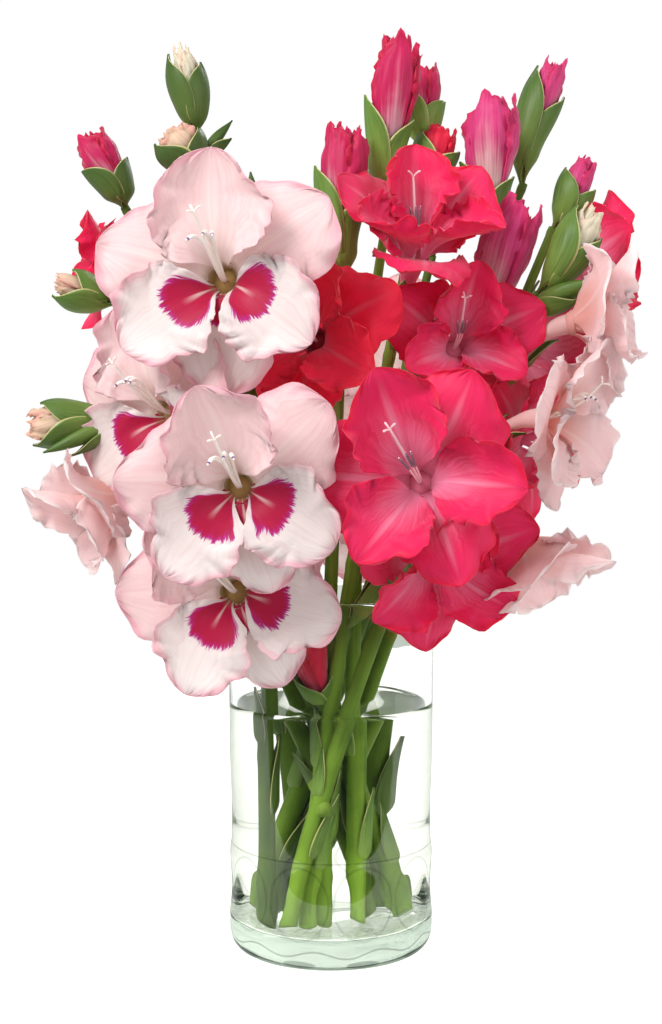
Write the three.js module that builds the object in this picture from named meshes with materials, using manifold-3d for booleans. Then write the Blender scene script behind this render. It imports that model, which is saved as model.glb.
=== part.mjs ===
// A bunch of cut gladiolus standing in a clear glass vase of water.
// Millimetres, +Z up, the front of the bunch towards -Y, origin at the middle of the vase's flat foot.
// Each spike is a leaning stem with its pairs of green bracts; every floret and every bud on it is a
// piece of its own, seated in its bracts. Stems stand on the vase floor, in plain holes in the water.
import * as THREE from "three";
import { mergeVertices } from "three/addons/utils/BufferGeometryUtils.js";
import Module from "manifold-3d";

const wasm = await Module();
wasm.setup();

// Driving dimensions of the vase and the water.
const VASE = {
  height: 190,
  radius: 55,
  waist: 53.8,
  waistHeight: 70,
  foot: 50,
  footRise: 5,
  floor: 15,
  floorRise: 8,
  wall: 4.4,
  rimWall: 3.2,
  lensLow: 16,
  lensHigh: 54,
  lensDepth: 1.6,
  lenses: 10,
  sides: 40,
};
const WATER_LEVEL = 130;
const GAP = 0.35; // running gap between separate pieces
const BLADE = 0.8; // thickness of a petal
const STEM = { foot: 4.6, tip: 2.3, sides: 5, steps: 7 };
// A bract: its longest reach along what it holds, how far round it goes (radians to each side), how tight
// its base is, and how far its point stands off.
const BRACT = {
  thickness: 1,
  reach: 40,
  wrap: 1.35,
  base: 0.2,
  standOff: 1.4,
  rows: [-0.05, 0.36, 1],
  columns: [-1, 0, 1],
};

// A floret in its own frame: X to the right, Y to the hooded upper petal, Z out of the face. Its tube
// widens into a throat, and the six petals are rooted in a ring there.
const THROAT = {
  floor: -15.5,
  radius: 9,
  tube: 2.6,
  neck: 4,
  rootRadius: 5.3,
  rootDepth: -16.6,
  rootHalfWidth: 2.5,
};
// The six petals: where each sits round the face, its size, how far it opens from the axis, how much its
// tip curls back, how much it is dished, and whether it belongs to the front (+1) or the back (-1) whorl.
const PETALS = [
  { turn: 0, length: 60, width: 58, flare: 60, curl: -8, dish: 0.12, whorl: 1 },
  { turn: 63, length: 59, width: 54, flare: 77, curl: 6, dish: -0.06, whorl: -1 },
  { turn: -63, length: 59, width: 54, flare: 77, curl: 6, dish: -0.06, whorl: -1 },
  { turn: 122, length: 52, width: 44, flare: 73, curl: 12, dish: 0.02, whorl: 1 },
  { turn: -122, length: 52, width: 44, flare: 73, curl: 12, dish: 0.02, whorl: 1 },
  { turn: 180, length: 52, width: 46, flare: 82, curl: 14, dish: -0.05, whorl: -1 },
];
const ROOT_ANGLE = 24; // how far the petals' roots lean out in an open floret
const RUFFLE = { height: 4, waves: 4 }; // the wave of a petal's margin
const FURL = 1; // how far a petal's left edge lies over its right-hand neighbour in the same whorl
const WIDEST = 0.64; // where along its length a petal is widest
// The shares of a petal's length where it is bent, in the front, the side and the hidden florets.
const PETAL_ROWS = { front: [0, 0.36, 0.62, 0.86, 1], side: [0, 0.42, 0.78, 1], hidden: [0, 0.55, 1] };
const PETAL_COLUMNS = [-1, 0, 1];

// A furled bud: its radius in its bracts and at its mouth against its fullest, where it is fullest, its
// spiral folds, and the length of bract that goes with the start of its line.
const BUD = { base: 0.34, fullest: 0.66, narrowing: 0.42, folds: 3, foldDepth: 0.12, twist: 4, bract: 50 };
const TUBE_START = 0.24; // share of its line where a tube or a bud begins, inside its bracts

const COLOURS = {
  glass: { color: 0xe8f2ee, roughness: 0.03, metalness: 0 },
  water: { color: 0xdcebe6, roughness: 0.02, metalness: 0 },
  green: { color: 0x5c8a3a, roughness: 0.5, metalness: 0 },
  pale: { color: 0xf3cfd2, roughness: 0.55, metalness: 0 },
  peach: { color: 0xeec9a8, roughness: 0.55, metalness: 0 },
  rose: { color: 0xe0558a, roughness: 0.5, metalness: 0 },
  hot: { color: 0xdc1f52, roughness: 0.5, metalness: 0 },
};

// The spikes. A stem is one smooth curve from its foot on the vase floor through two guide points to its
// tip. Florets give the share of the stem where they sit, the middle of the face, where the face looks
// (degrees to the right of the front, and up), how it is rolled, its size and how far it is open. Buds
// give the share of the stem, their tip, their fullest radius and the length of their bracts.
const SPIKES = {
  a: {
    foot: [-30, -24], low: [-31, -28, 165], high: [-32, -38, 330], tip: [-73, -10, 430],
    florets: [
      {
        name: "1", at: 0.405, face: [-50, -66, 196], look: [-6, 0], roll: 26,
        size: 0.98, open: 1, colour: "pale", stamens: true, detail: "side",
      },
      {
        name: "2", at: 0.51, face: [-45, -100, 250], look: [-4, -2], roll: 12,
        size: 0.98, open: 1, colour: "pale", stamens: true, detail: "front",
      },
      {
        name: "3", at: 0.63, face: [-89, -58, 290], look: [-44, 0], roll: 6,
        size: 0.96, open: 1, colour: "pale", stamens: true, detail: "front",
      },
      {
        name: "4", at: 0.76, face: [-55, -86, 352], look: [-12, 6], roll: 8,
        size: 1.02, open: 1, colour: "pale", stamens: true, detail: "front",
      },
    ],
    buds: [
      { name: "5", at: 0.93, tip: [-84, -22, 434], radius: 9, bract: 22, colour: "peach" },
      { name: "6", at: 1, tip: [-78, -10, 479], radius: 5, bract: 34, colour: "peach" },
    ],
    leaves: [{ at: 0.96, tip: [-52, -4, 440], radius: 3.4 }],
  },
  b: {
    foot: [18, -6], low: [-2, -6, 110], high: [-58, -8, 236], tip: [-114, -22, 284],
    florets: [
      {
        name: "1", at: 0.83, face: [-116, -32, 236], look: [-64, -26], roll: 20,
        size: 0.86, open: 0.45, colour: "pale", detail: "hidden",
      },
    ],
    buds: [
      { name: "2", at: 1, tip: [-160, -24, 279], radius: 8, bract: 32, colour: "peach" },
    ],
    leaves: [{ at: 0.97, tip: [-148, -34, 266], radius: 5 }],
  },
  c: {
    foot: [31, -6], low: [10, -6, 110], high: [-56, 4, 262], tip: [-114, -6, 345],
    florets: [],
    buds: [
      { name: "1", at: 1, tip: [-146, -14, 356], radius: 5.5, bract: 24, colour: "peach" },
      { name: "2", at: 0.95, tip: [-112, -16, 376], radius: 7, bract: 20, colour: "rose" },
    ],
    leaves: [],
  },
  d: {
    foot: [22, 24], low: [4, 24, 110], high: [-62, 26, 300], tip: [-114, 34, 400],
    florets: [
      {
        name: "1", at: 0.64, face: [-104, 30, 258], look: [-96, -10], roll: 0,
        size: 0.9, open: 0.8, colour: "hot", detail: "hidden",
      },
      {
        name: "2", at: 0.86, face: [-120, 32, 364], look: [-74, 10], roll: -8,
        size: 0.72, open: 0.5, colour: "hot", detail: "hidden",
      },
    ],
    buds: [{ name: "3", at: 1, tip: [-134, 32, 442], radius: 9, bract: 22, colour: "rose" }],
    leaves: [],
  },
  e: {
    foot: [-4, -16], low: [-4, -16, 130], high: [2, -14, 250], tip: [7, -10, 356],
    florets: [
      {
        name: "1", at: 0.74, face: [-12, -50, 325], look: [-20, 10], roll: 0,
        size: 0.86, open: 0.85, colour: "hot", detail: "side",
      },
    ],
    buds: [
      { name: "2", at: 1, tip: [9, -12, 439], radius: 11, bract: 46, colour: "rose" },
      { name: "3", at: 0.34, tip: [-17, -38, 186], radius: 9.5, bract: 16, colour: "hot" },
    ],
    leaves: [],
  },
  f: {
    foot: [11, -17], low: [11, -18, 140], high: [10, 8, 290], tip: [32, 14, 400],
    florets: [],
    buds: [
      { name: "2", at: 1, tip: [38, 2, 489], radius: 11, bract: 42, colour: "rose" },
    ],
    leaves: [],
  },
  g: {
    foot: [-10, -25], low: [-9, -25, 110], high: [26, -30, 300], tip: [54, 30, 430],
    florets: [
      {
        name: "1", at: 0.42, face: [52, -66, 213], look: [20, -24], roll: 0,
        size: 0.9, open: 0.75, colour: "hot", detail: "hidden",
      },
      {
        name: "2", at: 0.5, face: [42, -94, 255], look: [-6, 10], roll: 28,
        size: 1.0, open: 0.8, colour: "hot", stamens: true, detail: "front",
      },
      {
        name: "3", at: 0.68, face: [66, -36, 322], look: [12, 14], roll: 0,
        size: 0.82, open: 0.62, colour: "hot", detail: "side",
      },
      {
        name: "4", at: 0.74, face: [44, -38, 376], look: [14, 52], roll: 0,
        size: 1.0, open: 0.52, colour: "hot", detail: "side",
      },
    ],
    buds: [
      { name: "5", at: 0.94, tip: [62, 16, 442], radius: 8, bract: 24, colour: "hot" },
      { name: "6", at: 1, tip: [52, 40, 479], radius: 8, bract: 26, colour: "rose" },
    ],
    leaves: [],
  },
  h: {
    foot: [-28, 5], low: [-16, 5, 110], high: [60, 4, 276], tip: [90, 16, 384],
    florets: [
      {
        name: "2", at: 0.64, face: [108, -6, 274], look: [52, 0], roll: 0,
        size: 0.84, open: 0.8, colour: "hot", detail: "hidden",
      },
    ],
    buds: [
      { name: "3", at: 0.82, tip: [103, -10, 399], radius: 12, bract: 30, colour: "rose" },
      { name: "4", at: 1, tip: [88, 14, 459], radius: 13, bract: 28, colour: "rose" },
    ],
    leaves: [],
  },
  i: {
    foot: [-22, 14], low: [-4, 10, 150], high: [60, 34, 290], tip: [108, 50, 415],
    florets: [
      {
        name: "1", at: 0.66, face: [122, 66, 322], look: [118, 10], roll: 0,
        size: 0.9, open: 0.9, colour: "hot", detail: "hidden",
      },
    ],
    buds: [{ name: "2", at: 1, tip: [127, 50, 485], radius: 7, bract: 50, colour: "rose" }],
    leaves: [],
  },
  j: {
    foot: [-16, 5], low: [6, 6, 110], high: [82, 22, 292], tip: [122, 30, 388],
    florets: [
      {
        name: "1", at: 0.82, face: [143, 34, 366], look: [98, 14], roll: 0,
        size: 0.86, open: 0.7, colour: "hot", detail: "hidden",
      },
    ],
    buds: [
      { name: "2", at: 1, tip: [142, 28, 427], radius: 6, bract: 26, colour: "rose" },
      { name: "3", at: 0.42, tip: [37, -18, 202], radius: 9.5, bract: 16, colour: "rose" },
    ],
    leaves: [],
  },
  k: {
    foot: [-21, -34], low: [-2, -39, 120], high: [44, -18, 240], tip: [108, -16, 349],
    florets: [
      {
        name: "1", at: 0.58, face: [102, -34, 212], look: [52, -54], roll: 0,
        size: 0.86, open: 0.5, colour: "pale", detail: "hidden",
      },
      {
        name: "2", at: 0.72, face: [118, -54, 282], look: [56, -6], roll: 0,
        size: 0.86, open: 0.8, colour: "pale", stamens: true, detail: "side",
      },
      {
        name: "3", at: 0.84, face: [134, -36, 334], look: [80, 10], roll: 0,
        size: 0.84, open: 0.6, colour: "pale", detail: "side",
      },
    ],
    buds: [{ name: "4", at: 1, tip: [138, -22, 393], radius: 7, bract: 38, colour: "peach" }],
    leaves: [{ at: 0.97, tip: [134, -38, 354], radius: 6 }],
  },
  m: {
    foot: [-8, 37], low: [-10, 40, 120], high: [-36, 44, 300], tip: [-42, 62, 384],
    florets: [
      {
        name: "1", at: 0.5, face: [-62, 86, 236], look: [206, -8], roll: 0,
        size: 1.0, open: 1, colour: "hot", detail: "hidden",
      },
      {
        name: "2", at: 0.74, face: [-46, 98, 326], look: [188, 6], roll: 0,
        size: 1.0, open: 0.95, colour: "hot", detail: "hidden",
      },
    ],
    buds: [],
    leaves: [{ at: 1, tip: [-46, 66, 424], radius: 5 }],
  },
  n: {
    foot: [12, 37], low: [12, 35, 150], high: [34, 44, 290], tip: [58, 62, 376],
    florets: [
      {
        name: "1", at: 0.44, face: [40, 96, 225], look: [164, -10], roll: 0,
        size: 1.0, open: 1, colour: "pale", detail: "hidden",
      },
      {
        name: "2", at: 0.7, face: [42, 108, 312], look: [174, 6], roll: 0,
        size: 1.0, open: 1, colour: "pale", detail: "hidden",
      },
    ],
    buds: [],
    leaves: [{ at: 1, tip: [64, 64, 412], radius: 5 }],
  },
};

const radians = THREE.MathUtils.degToRad;
const smooth = (x) => THREE.MathUtils.smoothstep(x, 0, 1);
const vector = ([x, y, z]) => new THREE.Vector3(x, y, z);

// A repeatable number from 0 to 1 for a piece.
function drawn(seed, k) {
  const x = Math.sin(seed * 12.9898 + k * 78.233) * 43758.5453;
  return x - Math.floor(x);
}

// A closed geometry as a solid that can be joined and cut.
function solidOf(geometry) {
  const bare = geometry.index ? geometry.clone() : geometry;
  bare.deleteAttribute("normal");
  bare.deleteAttribute("uv");
  const merged = mergeVertices(bare, 1e-4);
  return new wasm.Manifold(
    new wasm.Mesh({
      numProp: 3,
      vertProperties: new Float32Array(merged.attributes.position.array),
      triVerts: new Uint32Array(merged.index.array),
    }),
  );
}

function geometryOf(solid) {
  const mesh = solid.getMesh();
  const geometry = new THREE.BufferGeometry();
  geometry.setAttribute("position", new THREE.BufferAttribute(mesh.vertProperties, 3));
  geometry.setIndex(new THREE.BufferAttribute(mesh.triVerts, 1));
  return geometry;
}

function indexed(points, faces) {
  const geometry = new THREE.BufferGeometry().setFromPoints(points);
  geometry.setIndex(faces);
  return geometry;
}

// A profile of [radius, height] pairs, from the axis to the axis, turned about +Z.
function turned(profile, sides) {
  const points = profile.map(([radius, height]) => new THREE.Vector2(radius, height));
  const geometry = new THREE.LatheGeometry(points, sides);
  return geometry.rotateX(Math.PI / 2);
}

// A thin closed blade on surface(s, t), with s from 0 to 1 along it and t from -1 to 1 across it, which
// stands proud of itself by a growth on every side. Both faces are split along the same diagonals, so
// that they never meet.
function blade(surface, rows, columns, thickness, grow) {
  const step = 1e-3;
  const points = [];
  const wide = columns.length;
  const sheet = rows.length * wide;
  const outward = (i, count) => (i === count - 1) - (i === 0);
  for (const side of [1, -1])
    rows.forEach((s, i) =>
      columns.forEach((t, j) => {
        const along = surface(s + step, t).sub(surface(s - step, t)).normalize();
        const across = surface(s, t + step).sub(surface(s, t - step)).normalize();
        const normal = along.clone().cross(across).normalize();
        points.push(
          surface(s, t)
            .addScaledVector(normal, side * (thickness / 2 + grow))
            .addScaledVector(along, grow * outward(i, rows.length))
            .addScaledVector(across, grow * outward(j, wide)),
        );
      }),
    );
  const faces = [];
  for (let i = 0; i < rows.length - 1; i++)
    for (let j = 0; j < wide - 1; j++) {
      const a = i * wide + j;
      const [b, c, d] = [a + wide, a + wide + 1, a + 1];
      faces.push(a, b, c, a, c, d);
      faces.push(sheet + a, sheet + c, sheet + b, sheet + a, sheet + d, sheet + c);
    }
  const wall = (a, b) => faces.push(a, sheet + b, b, a, sheet + a, sheet + b);
  for (let i = 0; i < rows.length - 1; i++) {
    wall(i * wide, (i + 1) * wide);
    wall((i + 2) * wide - 1, (i + 1) * wide - 1);
  }
  for (let j = 0; j < wide - 1; j++) {
    wall(j + 1, j);
    wall(sheet - wide + j, sheet - wide + j + 1);
  }
  return indexed(points, faces);
}

// The frame of a curve at a share of it: the place, and two directions across it that keep to a plane.
function frameAt(curve, share, side) {
  const along = curve.getTangent(share).normalize();
  const across = side.clone().addScaledVector(along, -side.dot(along)).normalize();
  return { place: curve.getPoint(share), along, across, away: across.clone().cross(along) };
}

// A closed solid swept along a curve, its radius given at each share and angle.
function swept(curve, side, radiusAt, steps, sides) {
  const points = [];
  for (let i = 0; i <= steps; i++) {
    const { place, across, away } = frameAt(curve, i / steps, side);
    for (let j = 0; j < sides; j++) {
      const angle = (2 * Math.PI * j) / sides;
      const radius = radiusAt(i / steps, angle);
      points.push(
        place
          .clone()
          .addScaledVector(across, radius * Math.cos(angle))
          .addScaledVector(away, -radius * Math.sin(angle)),
      );
    }
  }
  const faces = [];
  for (let i = 0; i < steps; i++)
    for (let j = 0; j < sides; j++) {
      const a = i * sides + j;
      const b = i * sides + ((j + 1) % sides);
      faces.push(a, b, b + sides, a, b + sides, a + sides);
    }
  const last = steps * sides;
  for (let j = 1; j < sides - 1; j++) {
    faces.push(0, j + 1, j);
    faces.push(last, last + j, last + j + 1);
  }
  return indexed(points, faces);
}

// The vase: a thick clear cylinder with a rounded foot, a ring of pressed lens marks round its heavy
// base, a slight waist, and an open rim.
function vaseSolid() {
  const inner = VASE.radius - VASE.wall;
  const rimInner = VASE.radius - VASE.rimWall;
  const lensMiddle = (VASE.lensLow + VASE.lensHigh) / 2;
  const profile = [
    [0, 0],
    [VASE.foot, 0],
    [VASE.radius - 0.8, VASE.footRise],
    [VASE.radius, VASE.lensLow],
    [VASE.radius, lensMiddle],
    [VASE.radius - 0.2, VASE.lensHigh],
    [VASE.waist, VASE.waistHeight],
    [VASE.radius, VASE.height - 1],
    [VASE.radius - VASE.rimWall / 2, VASE.height],
    [rimInner, VASE.height - 1],
    [inner - 0.4, VASE.floor + VASE.floorRise],
    [inner - VASE.footRise, VASE.floor],
    [0, VASE.floor],
  ];
  const geometry = turned(profile, VASE.sides);
  const place = geometry.attributes.position;
  for (let i = 0; i < place.count; i++) {
    const [x, y, z] = [place.getX(i), place.getY(i), place.getZ(i)];
    const radius = Math.hypot(x, y);
    if (Math.abs(z - lensMiddle) > 1 || radius < VASE.waist) continue;
    const wave = 0.5 + 0.5 * Math.cos(VASE.lenses * Math.atan2(y, x));
    const pressed = 1 - (VASE.lensDepth * wave) / radius;
    place.setXYZ(i, x * pressed, y * pressed, z);
  }
  return solidOf(geometry);
}

// A full block of water inside the vase, before the stems are cut from it.
function waterSolid() {
  const inner = VASE.radius - VASE.wall - GAP - 0.3;
  return solidOf(
    turned(
      [
        [0, VASE.floor + GAP],
        [inner - VASE.footRise - GAP, VASE.floor + GAP],
        [inner - GAP, VASE.floor + VASE.floorRise + GAP],
        [inner, WATER_LEVEL],
        [0, WATER_LEVEL],
      ],
      24,
    ),
  );
}

// The line of a stem. Its foot is lifted by its lean, so that its cut end just clears the vase floor.
function stemCurve(spike) {
  const foot = vector([...spike.foot, VASE.floor]);
  const low = vector(spike.low);
  const lean = Math.hypot(low.x - foot.x, low.y - foot.y) / low.distanceTo(foot);
  foot.z += GAP + STEM.foot * lean;
  return new THREE.CubicBezierCurve3(foot, low, vector(spike.high), vector(spike.tip));
}
const stemRadius = (share) => THREE.MathUtils.lerp(STEM.foot, STEM.tip, share ** 1.3);
const ACROSS = new THREE.Vector3(0, 1, 0);

// The curved line from a place on the stem to a floret's throat or a bud's tip.
function branch(spike, at, end, arrival) {
  const stem = stemCurve(spike);
  const root = stem.getPoint(at);
  const upward = stem.getTangent(at).normalize();
  const reach = end.clone().sub(root);
  const outward = reach.clone().addScaledVector(upward, -reach.dot(upward)).normalize();
  const leaving = upward.clone().multiplyScalar(0.75).addScaledVector(outward, 0.65).normalize();
  root.addScaledVector(outward, 0.4 * stemRadius(at));
  const pull = 0.36 * end.distanceTo(root);
  const curve = new THREE.CubicBezierCurve3(
    root,
    root.clone().addScaledVector(leaving, pull),
    end.clone().addScaledVector(arrival, -pull),
    end,
  );
  let side = leaving.clone().cross(arrival);
  if (side.length() < 0.1) side = leaving.clone().cross(new THREE.Vector3(1, 0.3, 0.1));
  return { curve, side: side.normalize(), length: curve.getLength() };
}

// The frame of a floret's face.
function faceFrame(floret) {
  const [azimuth, elevation] = floret.look.map(radians);
  const out = new THREE.Vector3(
    Math.sin(azimuth) * Math.cos(elevation),
    -Math.cos(azimuth) * Math.cos(elevation),
    Math.sin(elevation),
  );
  const up = new THREE.Vector3(0, 0, 1).addScaledVector(out, -out.z).normalize();
  up.applyAxisAngle(out, radians(floret.roll));
  const right = up.clone().cross(out);
  const middle = vector(floret.face);
  const place = (x, y, z) =>
    middle
      .clone()
      .addScaledVector(right, x * floret.size)
      .addScaledVector(up, y * floret.size)
      .addScaledVector(out, z * floret.size);
  return { out, place };
}

// The surface of one petal, in millimetres in the floret's own frame.
function petalSurface(petal, open, seed) {
  const opened = 0.2 + 0.8 * open;
  const flare = radians(petal.flare * opened);
  const rootAngle = radians(ROOT_ANGLE * (0.4 + 0.6 * open));
  const curl = radians(petal.flare * opened + petal.curl * open + 8);
  const length = petal.length * (1 + 0.08 * (drawn(seed, petal.turn) - 0.5));
  const handle = 0.36 * length;
  const root = new THREE.Vector2(THROAT.rootRadius, THROAT.rootDepth);
  const toward = (angle, reach) =>
    new THREE.Vector2(Math.sin(angle), Math.cos(angle)).multiplyScalar(reach);
  const end = root.clone().add(toward(flare, length));
  const line = new THREE.CubicBezierCurve(
    root,
    root.clone().add(toward(rootAngle, handle)),
    end.clone().sub(toward(curl, handle)),
    end,
  );
  const phase = 2 * Math.PI * drawn(seed, petal.turn + 7);
  const turn = radians(petal.turn);
  return (s, t) => {
    const middle = line.getPoint(s);
    const slope = line.getTangent(THREE.MathUtils.clamp(s, 0, 1));
    const rise = Math.min(1, Math.max(0, s / WIDEST));
    const fall = Math.max(0, (s - WIDEST) / (1 - WIDEST));
    const tip = Math.sqrt(Math.max(0.16, 1 - fall ** 2.4));
    const half = THREE.MathUtils.lerp(THROAT.rootHalfWidth, petal.width / 2, smooth(rise)) * tip;
    const angle = turn + t * Math.min(half / middle.x, 1.75);
    const around = Math.atan2(t, (s - WIDEST) / (1 - WIDEST));
    const margin = Math.min(1, Math.abs(t) ** 2.5 * smooth(s / 0.5) + 0.8 * fall ** 3);
    const wave = 0.5 + 0.5 * Math.sin(RUFFLE.waves * around + phase);
    const lift =
      petal.whorl * (0.2 + 1.7 * smooth(s / 0.4) + RUFFLE.height * margin * wave) +
      petal.dish * (petal.width / 2) * t * t * smooth(s) +
      FURL * t * smooth(s / 0.4);
    const radius = middle.x - slope.y * lift;
    const depth = middle.y + slope.x * lift;
    return [radius * Math.sin(angle), radius * Math.cos(angle), depth];
  };
}

// A stretch of a curve, as a curve of its own.
function stretchOf(curve, from, to) {
  const part = new THREE.Curve();
  part.getPoint = (share) => curve.getPoint(THREE.MathUtils.lerp(from, to, share));
  return part;
}

// The line of a floret's tube, from its stem to the floor of its throat.
function tubeLine(spike, floret) {
  const { out, place } = faceFrame(floret);
  return branch(spike, floret.at, place(0, 0, THROAT.floor), out);
}
const tubeRadius = (floret, share) =>
  floret.size * (THREE.MathUtils.lerp(THROAT.tube, THROAT.neck, share) +
    (THROAT.radius - THROAT.neck) * smooth((share - 0.7) / 0.3));

// An open or half-open floret: its narrow tube, widening into the throat, and six petals.
function floretSolid(spike, floret, seed, grow) {
  const { place } = faceFrame(floret);
  const { curve, side } = tubeLine(spike, floret);
  const own = stretchOf(curve, TUBE_START, 1);
  const radius = (share) => tubeRadius(floret, TUBE_START + (1 - TUBE_START) * share) + grow;
  const pieces = [solidOf(swept(own, side, radius, 3, 6))];
  const rows = PETAL_ROWS[floret.detail];
  for (const petal of PETALS) {
    const local = petalSurface(petal, floret.open, seed);
    const surface = (s, t) => place(...local(s, t));
    pieces.push(solidOf(blade(surface, rows, PETAL_COLUMNS, BLADE, grow)));
  }
  return wasm.Manifold.union(pieces);
}

// Three arched stamens and the style between them, standing on the floor of the throat.
function stamenSolid(floret, grow) {
  const { place } = faceFrame(floret);
  const ends = [
    [-7, 20, 13],
    [3.5, 21, 14],
    [-2, 26, 19],
  ];
  const start = THROAT.floor + GAP;
  const pieces = ends.map(([x, y, z], i) => {
    const line = new THREE.CubicBezierCurve3(
      place(0.5 * (i - 1), 0.3, start),
      place(1.5 * (i - 1), 1.5, -4),
      place(0.4 * x, 0.45 * y, 8),
      place(x, y, z),
    );
    const thickness = (share) => (share > 0.8 ? 1.1 : 0.85) * floret.size + grow;
    return solidOf(swept(line, vector([1, 0.2, 0.1]).normalize(), thickness, 2, 3));
  });
  return wasm.Manifold.union(pieces);
}

// The radius of a bud of rolled petals: slender in its bracts, fullest near the top, with spiral folds and
// a ragged mouth.
function budRadius(bud, share) {
  const swelling = THREE.MathUtils.lerp(BUD.base, 1, smooth(share / BUD.fullest));
  const narrowing = 1 - BUD.narrowing * smooth((share - BUD.fullest) / (1 - BUD.fullest));
  return bud.radius * swelling * narrowing;
}

const budStart = (bud) => (TUBE_START * bud.bract) / BUD.bract;

function budLine(spike, bud) {
  const tip = vector(bud.tip);
  const heading = tip.clone().sub(stemCurve(spike).getPoint(bud.at)).normalize();
  return branch(spike, bud.at, tip, heading);
}

function budSolid(spike, bud, seed, grow) {
  const { curve, side } = budLine(spike, bud);
  const phase = 2 * Math.PI * drawn(seed, 3);
  const shape = (share, angle) => {
    const fold = Math.cos(BUD.folds * angle + BUD.twist * share + phase);
    return budRadius(bud, share) * (1 + BUD.foldDepth * smooth(share) * fold) + grow;
  };
  return solidOf(swept(stretchOf(curve, budStart(bud), 1), side, shape, 5, 6));
}

// Clasping pointed bracts round a line, keeled, and standing clear of what they hold: the outer one (+1)
// on the side away from the stem, and the inner one (-1).
function bracts(ways, line, reach, holdRadius, grow) {
  return ways.map((way) => {
    const size = way > 0 ? 1 : 0.84;
    const share = Math.min(0.95, (reach * size) / line.length);
    const surface = (s, t) => {
      const at = THREE.MathUtils.clamp(s, 0, 1) * share;
      const { place, along, across, away } = frameAt(line.curve, at, line.side);
      const opening = smooth(s / 0.3);
      const pointed = Math.max(0.14, 1 - Math.max(0, s) ** 2.6);
      const wrap = BRACT.wrap * pointed * THREE.MathUtils.lerp(0.5, 1, opening);
      const clear = (holdRadius(at) + BRACT.thickness / 2 + GAP) / Math.cos(wrap / 2);
      const radius = clear * THREE.MathUtils.lerp(BRACT.base, 1, opening) + BRACT.standOff * s ** 3;
      const angle = (way * Math.PI) / 2 + t * wrap;
      return place
        .addScaledVector(across, radius * Math.cos(angle))
        .addScaledVector(away, radius * Math.sin(angle))
        .addScaledVector(along, (s - at / share) * reach);
    };
    return solidOf(blade(surface, BRACT.rows, BRACT.columns, BRACT.thickness, grow));
  });
}

// One spike's green body: the stem, its bracts and the empty green tips.
function greenSolid(spike, grow) {
  const radius = (share) => stemRadius(share) + grow;
  const pieces = [solidOf(swept(stemCurve(spike), ACROSS, radius, STEM.steps, STEM.sides))];
  for (const floret of spike.florets) {
    const line = tubeLine(spike, floret);
    const hold = (at) => tubeRadius(floret, at);
    pieces.push(...bracts([1], line, Math.min(BRACT.reach, 0.7 * line.length), hold, grow));
  }
  for (const bud of spike.buds) {
    const start = budStart(bud);
    const hold = (at) => (1 + BUD.foldDepth) * budRadius(bud, Math.max(0, (at - start) / (1 - start)));
    pieces.push(...bracts([1, -1], budLine(spike, bud), bud.bract, hold, grow));
  }
  for (const leaf of spike.leaves) {
    const line = budLine(spike, leaf);
    const body = (share) =>
      Math.max(0.7, leaf.radius * Math.sin(Math.PI * (0.14 + 0.84 * share))) + grow;
    pieces.push(solidOf(swept(line.curve, line.side, body, 4, 5)));
  }
  return wasm.Manifold.union(pieces);
}

// The largest body of a solid, without the scraps that trimming leaves.
function largestBody(solid) {
  const bodies = solid.decompose();
  return bodies.reduce((best, body) => (body.volume() > best.volume() ? body : best));
}

const boxesMeet = (a, b) =>
  [0, 1, 2].every((k) => a.min[k] <= b.max[k] && b.min[k] <= a.max[k]);

// Every piece, in the order in which it is laid. Later pieces are trimmed clear of earlier ones.
function laidPieces() {
  const greens = [];
  const buds = [];
  const stamens = [];
  const florets = [];
  Object.entries(SPIKES).forEach(([letter, spike], row) => {
    const seedOf = (piece) => row * 10 + Number(piece.name);
    greens.push({ name: `spike_${letter}`, colour: "green", make: (grow) => greenSolid(spike, grow) });
    for (const bud of spike.buds)
      buds.push({
        name: `bud_${letter}${bud.name}`,
        colour: bud.colour,
        make: (grow) => budSolid(spike, bud, seedOf(bud), grow),
      });
    for (const floret of spike.florets) {
      if (floret.stamens)
        stamens.push({
          name: `stamens_${letter}${floret.name}`,
          colour: "pale",
          make: (grow) => stamenSolid(floret, grow),
        });
      florets.push({
        name: `floret_${letter}${floret.name}`,
        colour: floret.colour,
        make: (grow) => floretSolid(spike, floret, seedOf(floret), grow),
      });
    }
  });
  return [...greens, ...buds, ...stamens, ...florets];
}

const group = new THREE.Group();

function addPiece(name, colour, solid) {
  const mesh = new THREE.Mesh(geometryOf(solid), new THREE.MeshStandardMaterial(COLOURS[colour]));
  mesh.name = name;
  group.add(mesh);
}

addPiece("vase", "glass", vaseSolid());
const laid = [];
let water = waterSolid();
for (const piece of laidPieces()) {
  let solid = piece.make(0);
  const box = solid.boundingBox();
  for (const earlier of laid)
    if (boxesMeet(box, earlier.box)) solid = solid.subtract(earlier.cleared);
  solid = largestBody(solid);
  const cleared = piece.make(GAP + 0.1).add(solid); // the room that later pieces leave it
  laid.push({ box: cleared.boundingBox(), cleared });
  if (piece.colour === "green") water = water.subtract(cleared);
  addPiece(piece.name, piece.colour, solid);
}
addPiece("water", "water", largestBody(water));

export default group;
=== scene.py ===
"""A bunch of cut gladiolus standing in a clear glass vase of water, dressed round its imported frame.

Shapes are worked out in millimetres, +Z up, with the front of the bunch towards -Y and the origin at the
middle of the vase's flat foot, and go into their meshes in metres.
"""

import logging
import math
from dataclasses import dataclass
from enum import Enum
from typing import Any, Callable, Sequence

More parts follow.
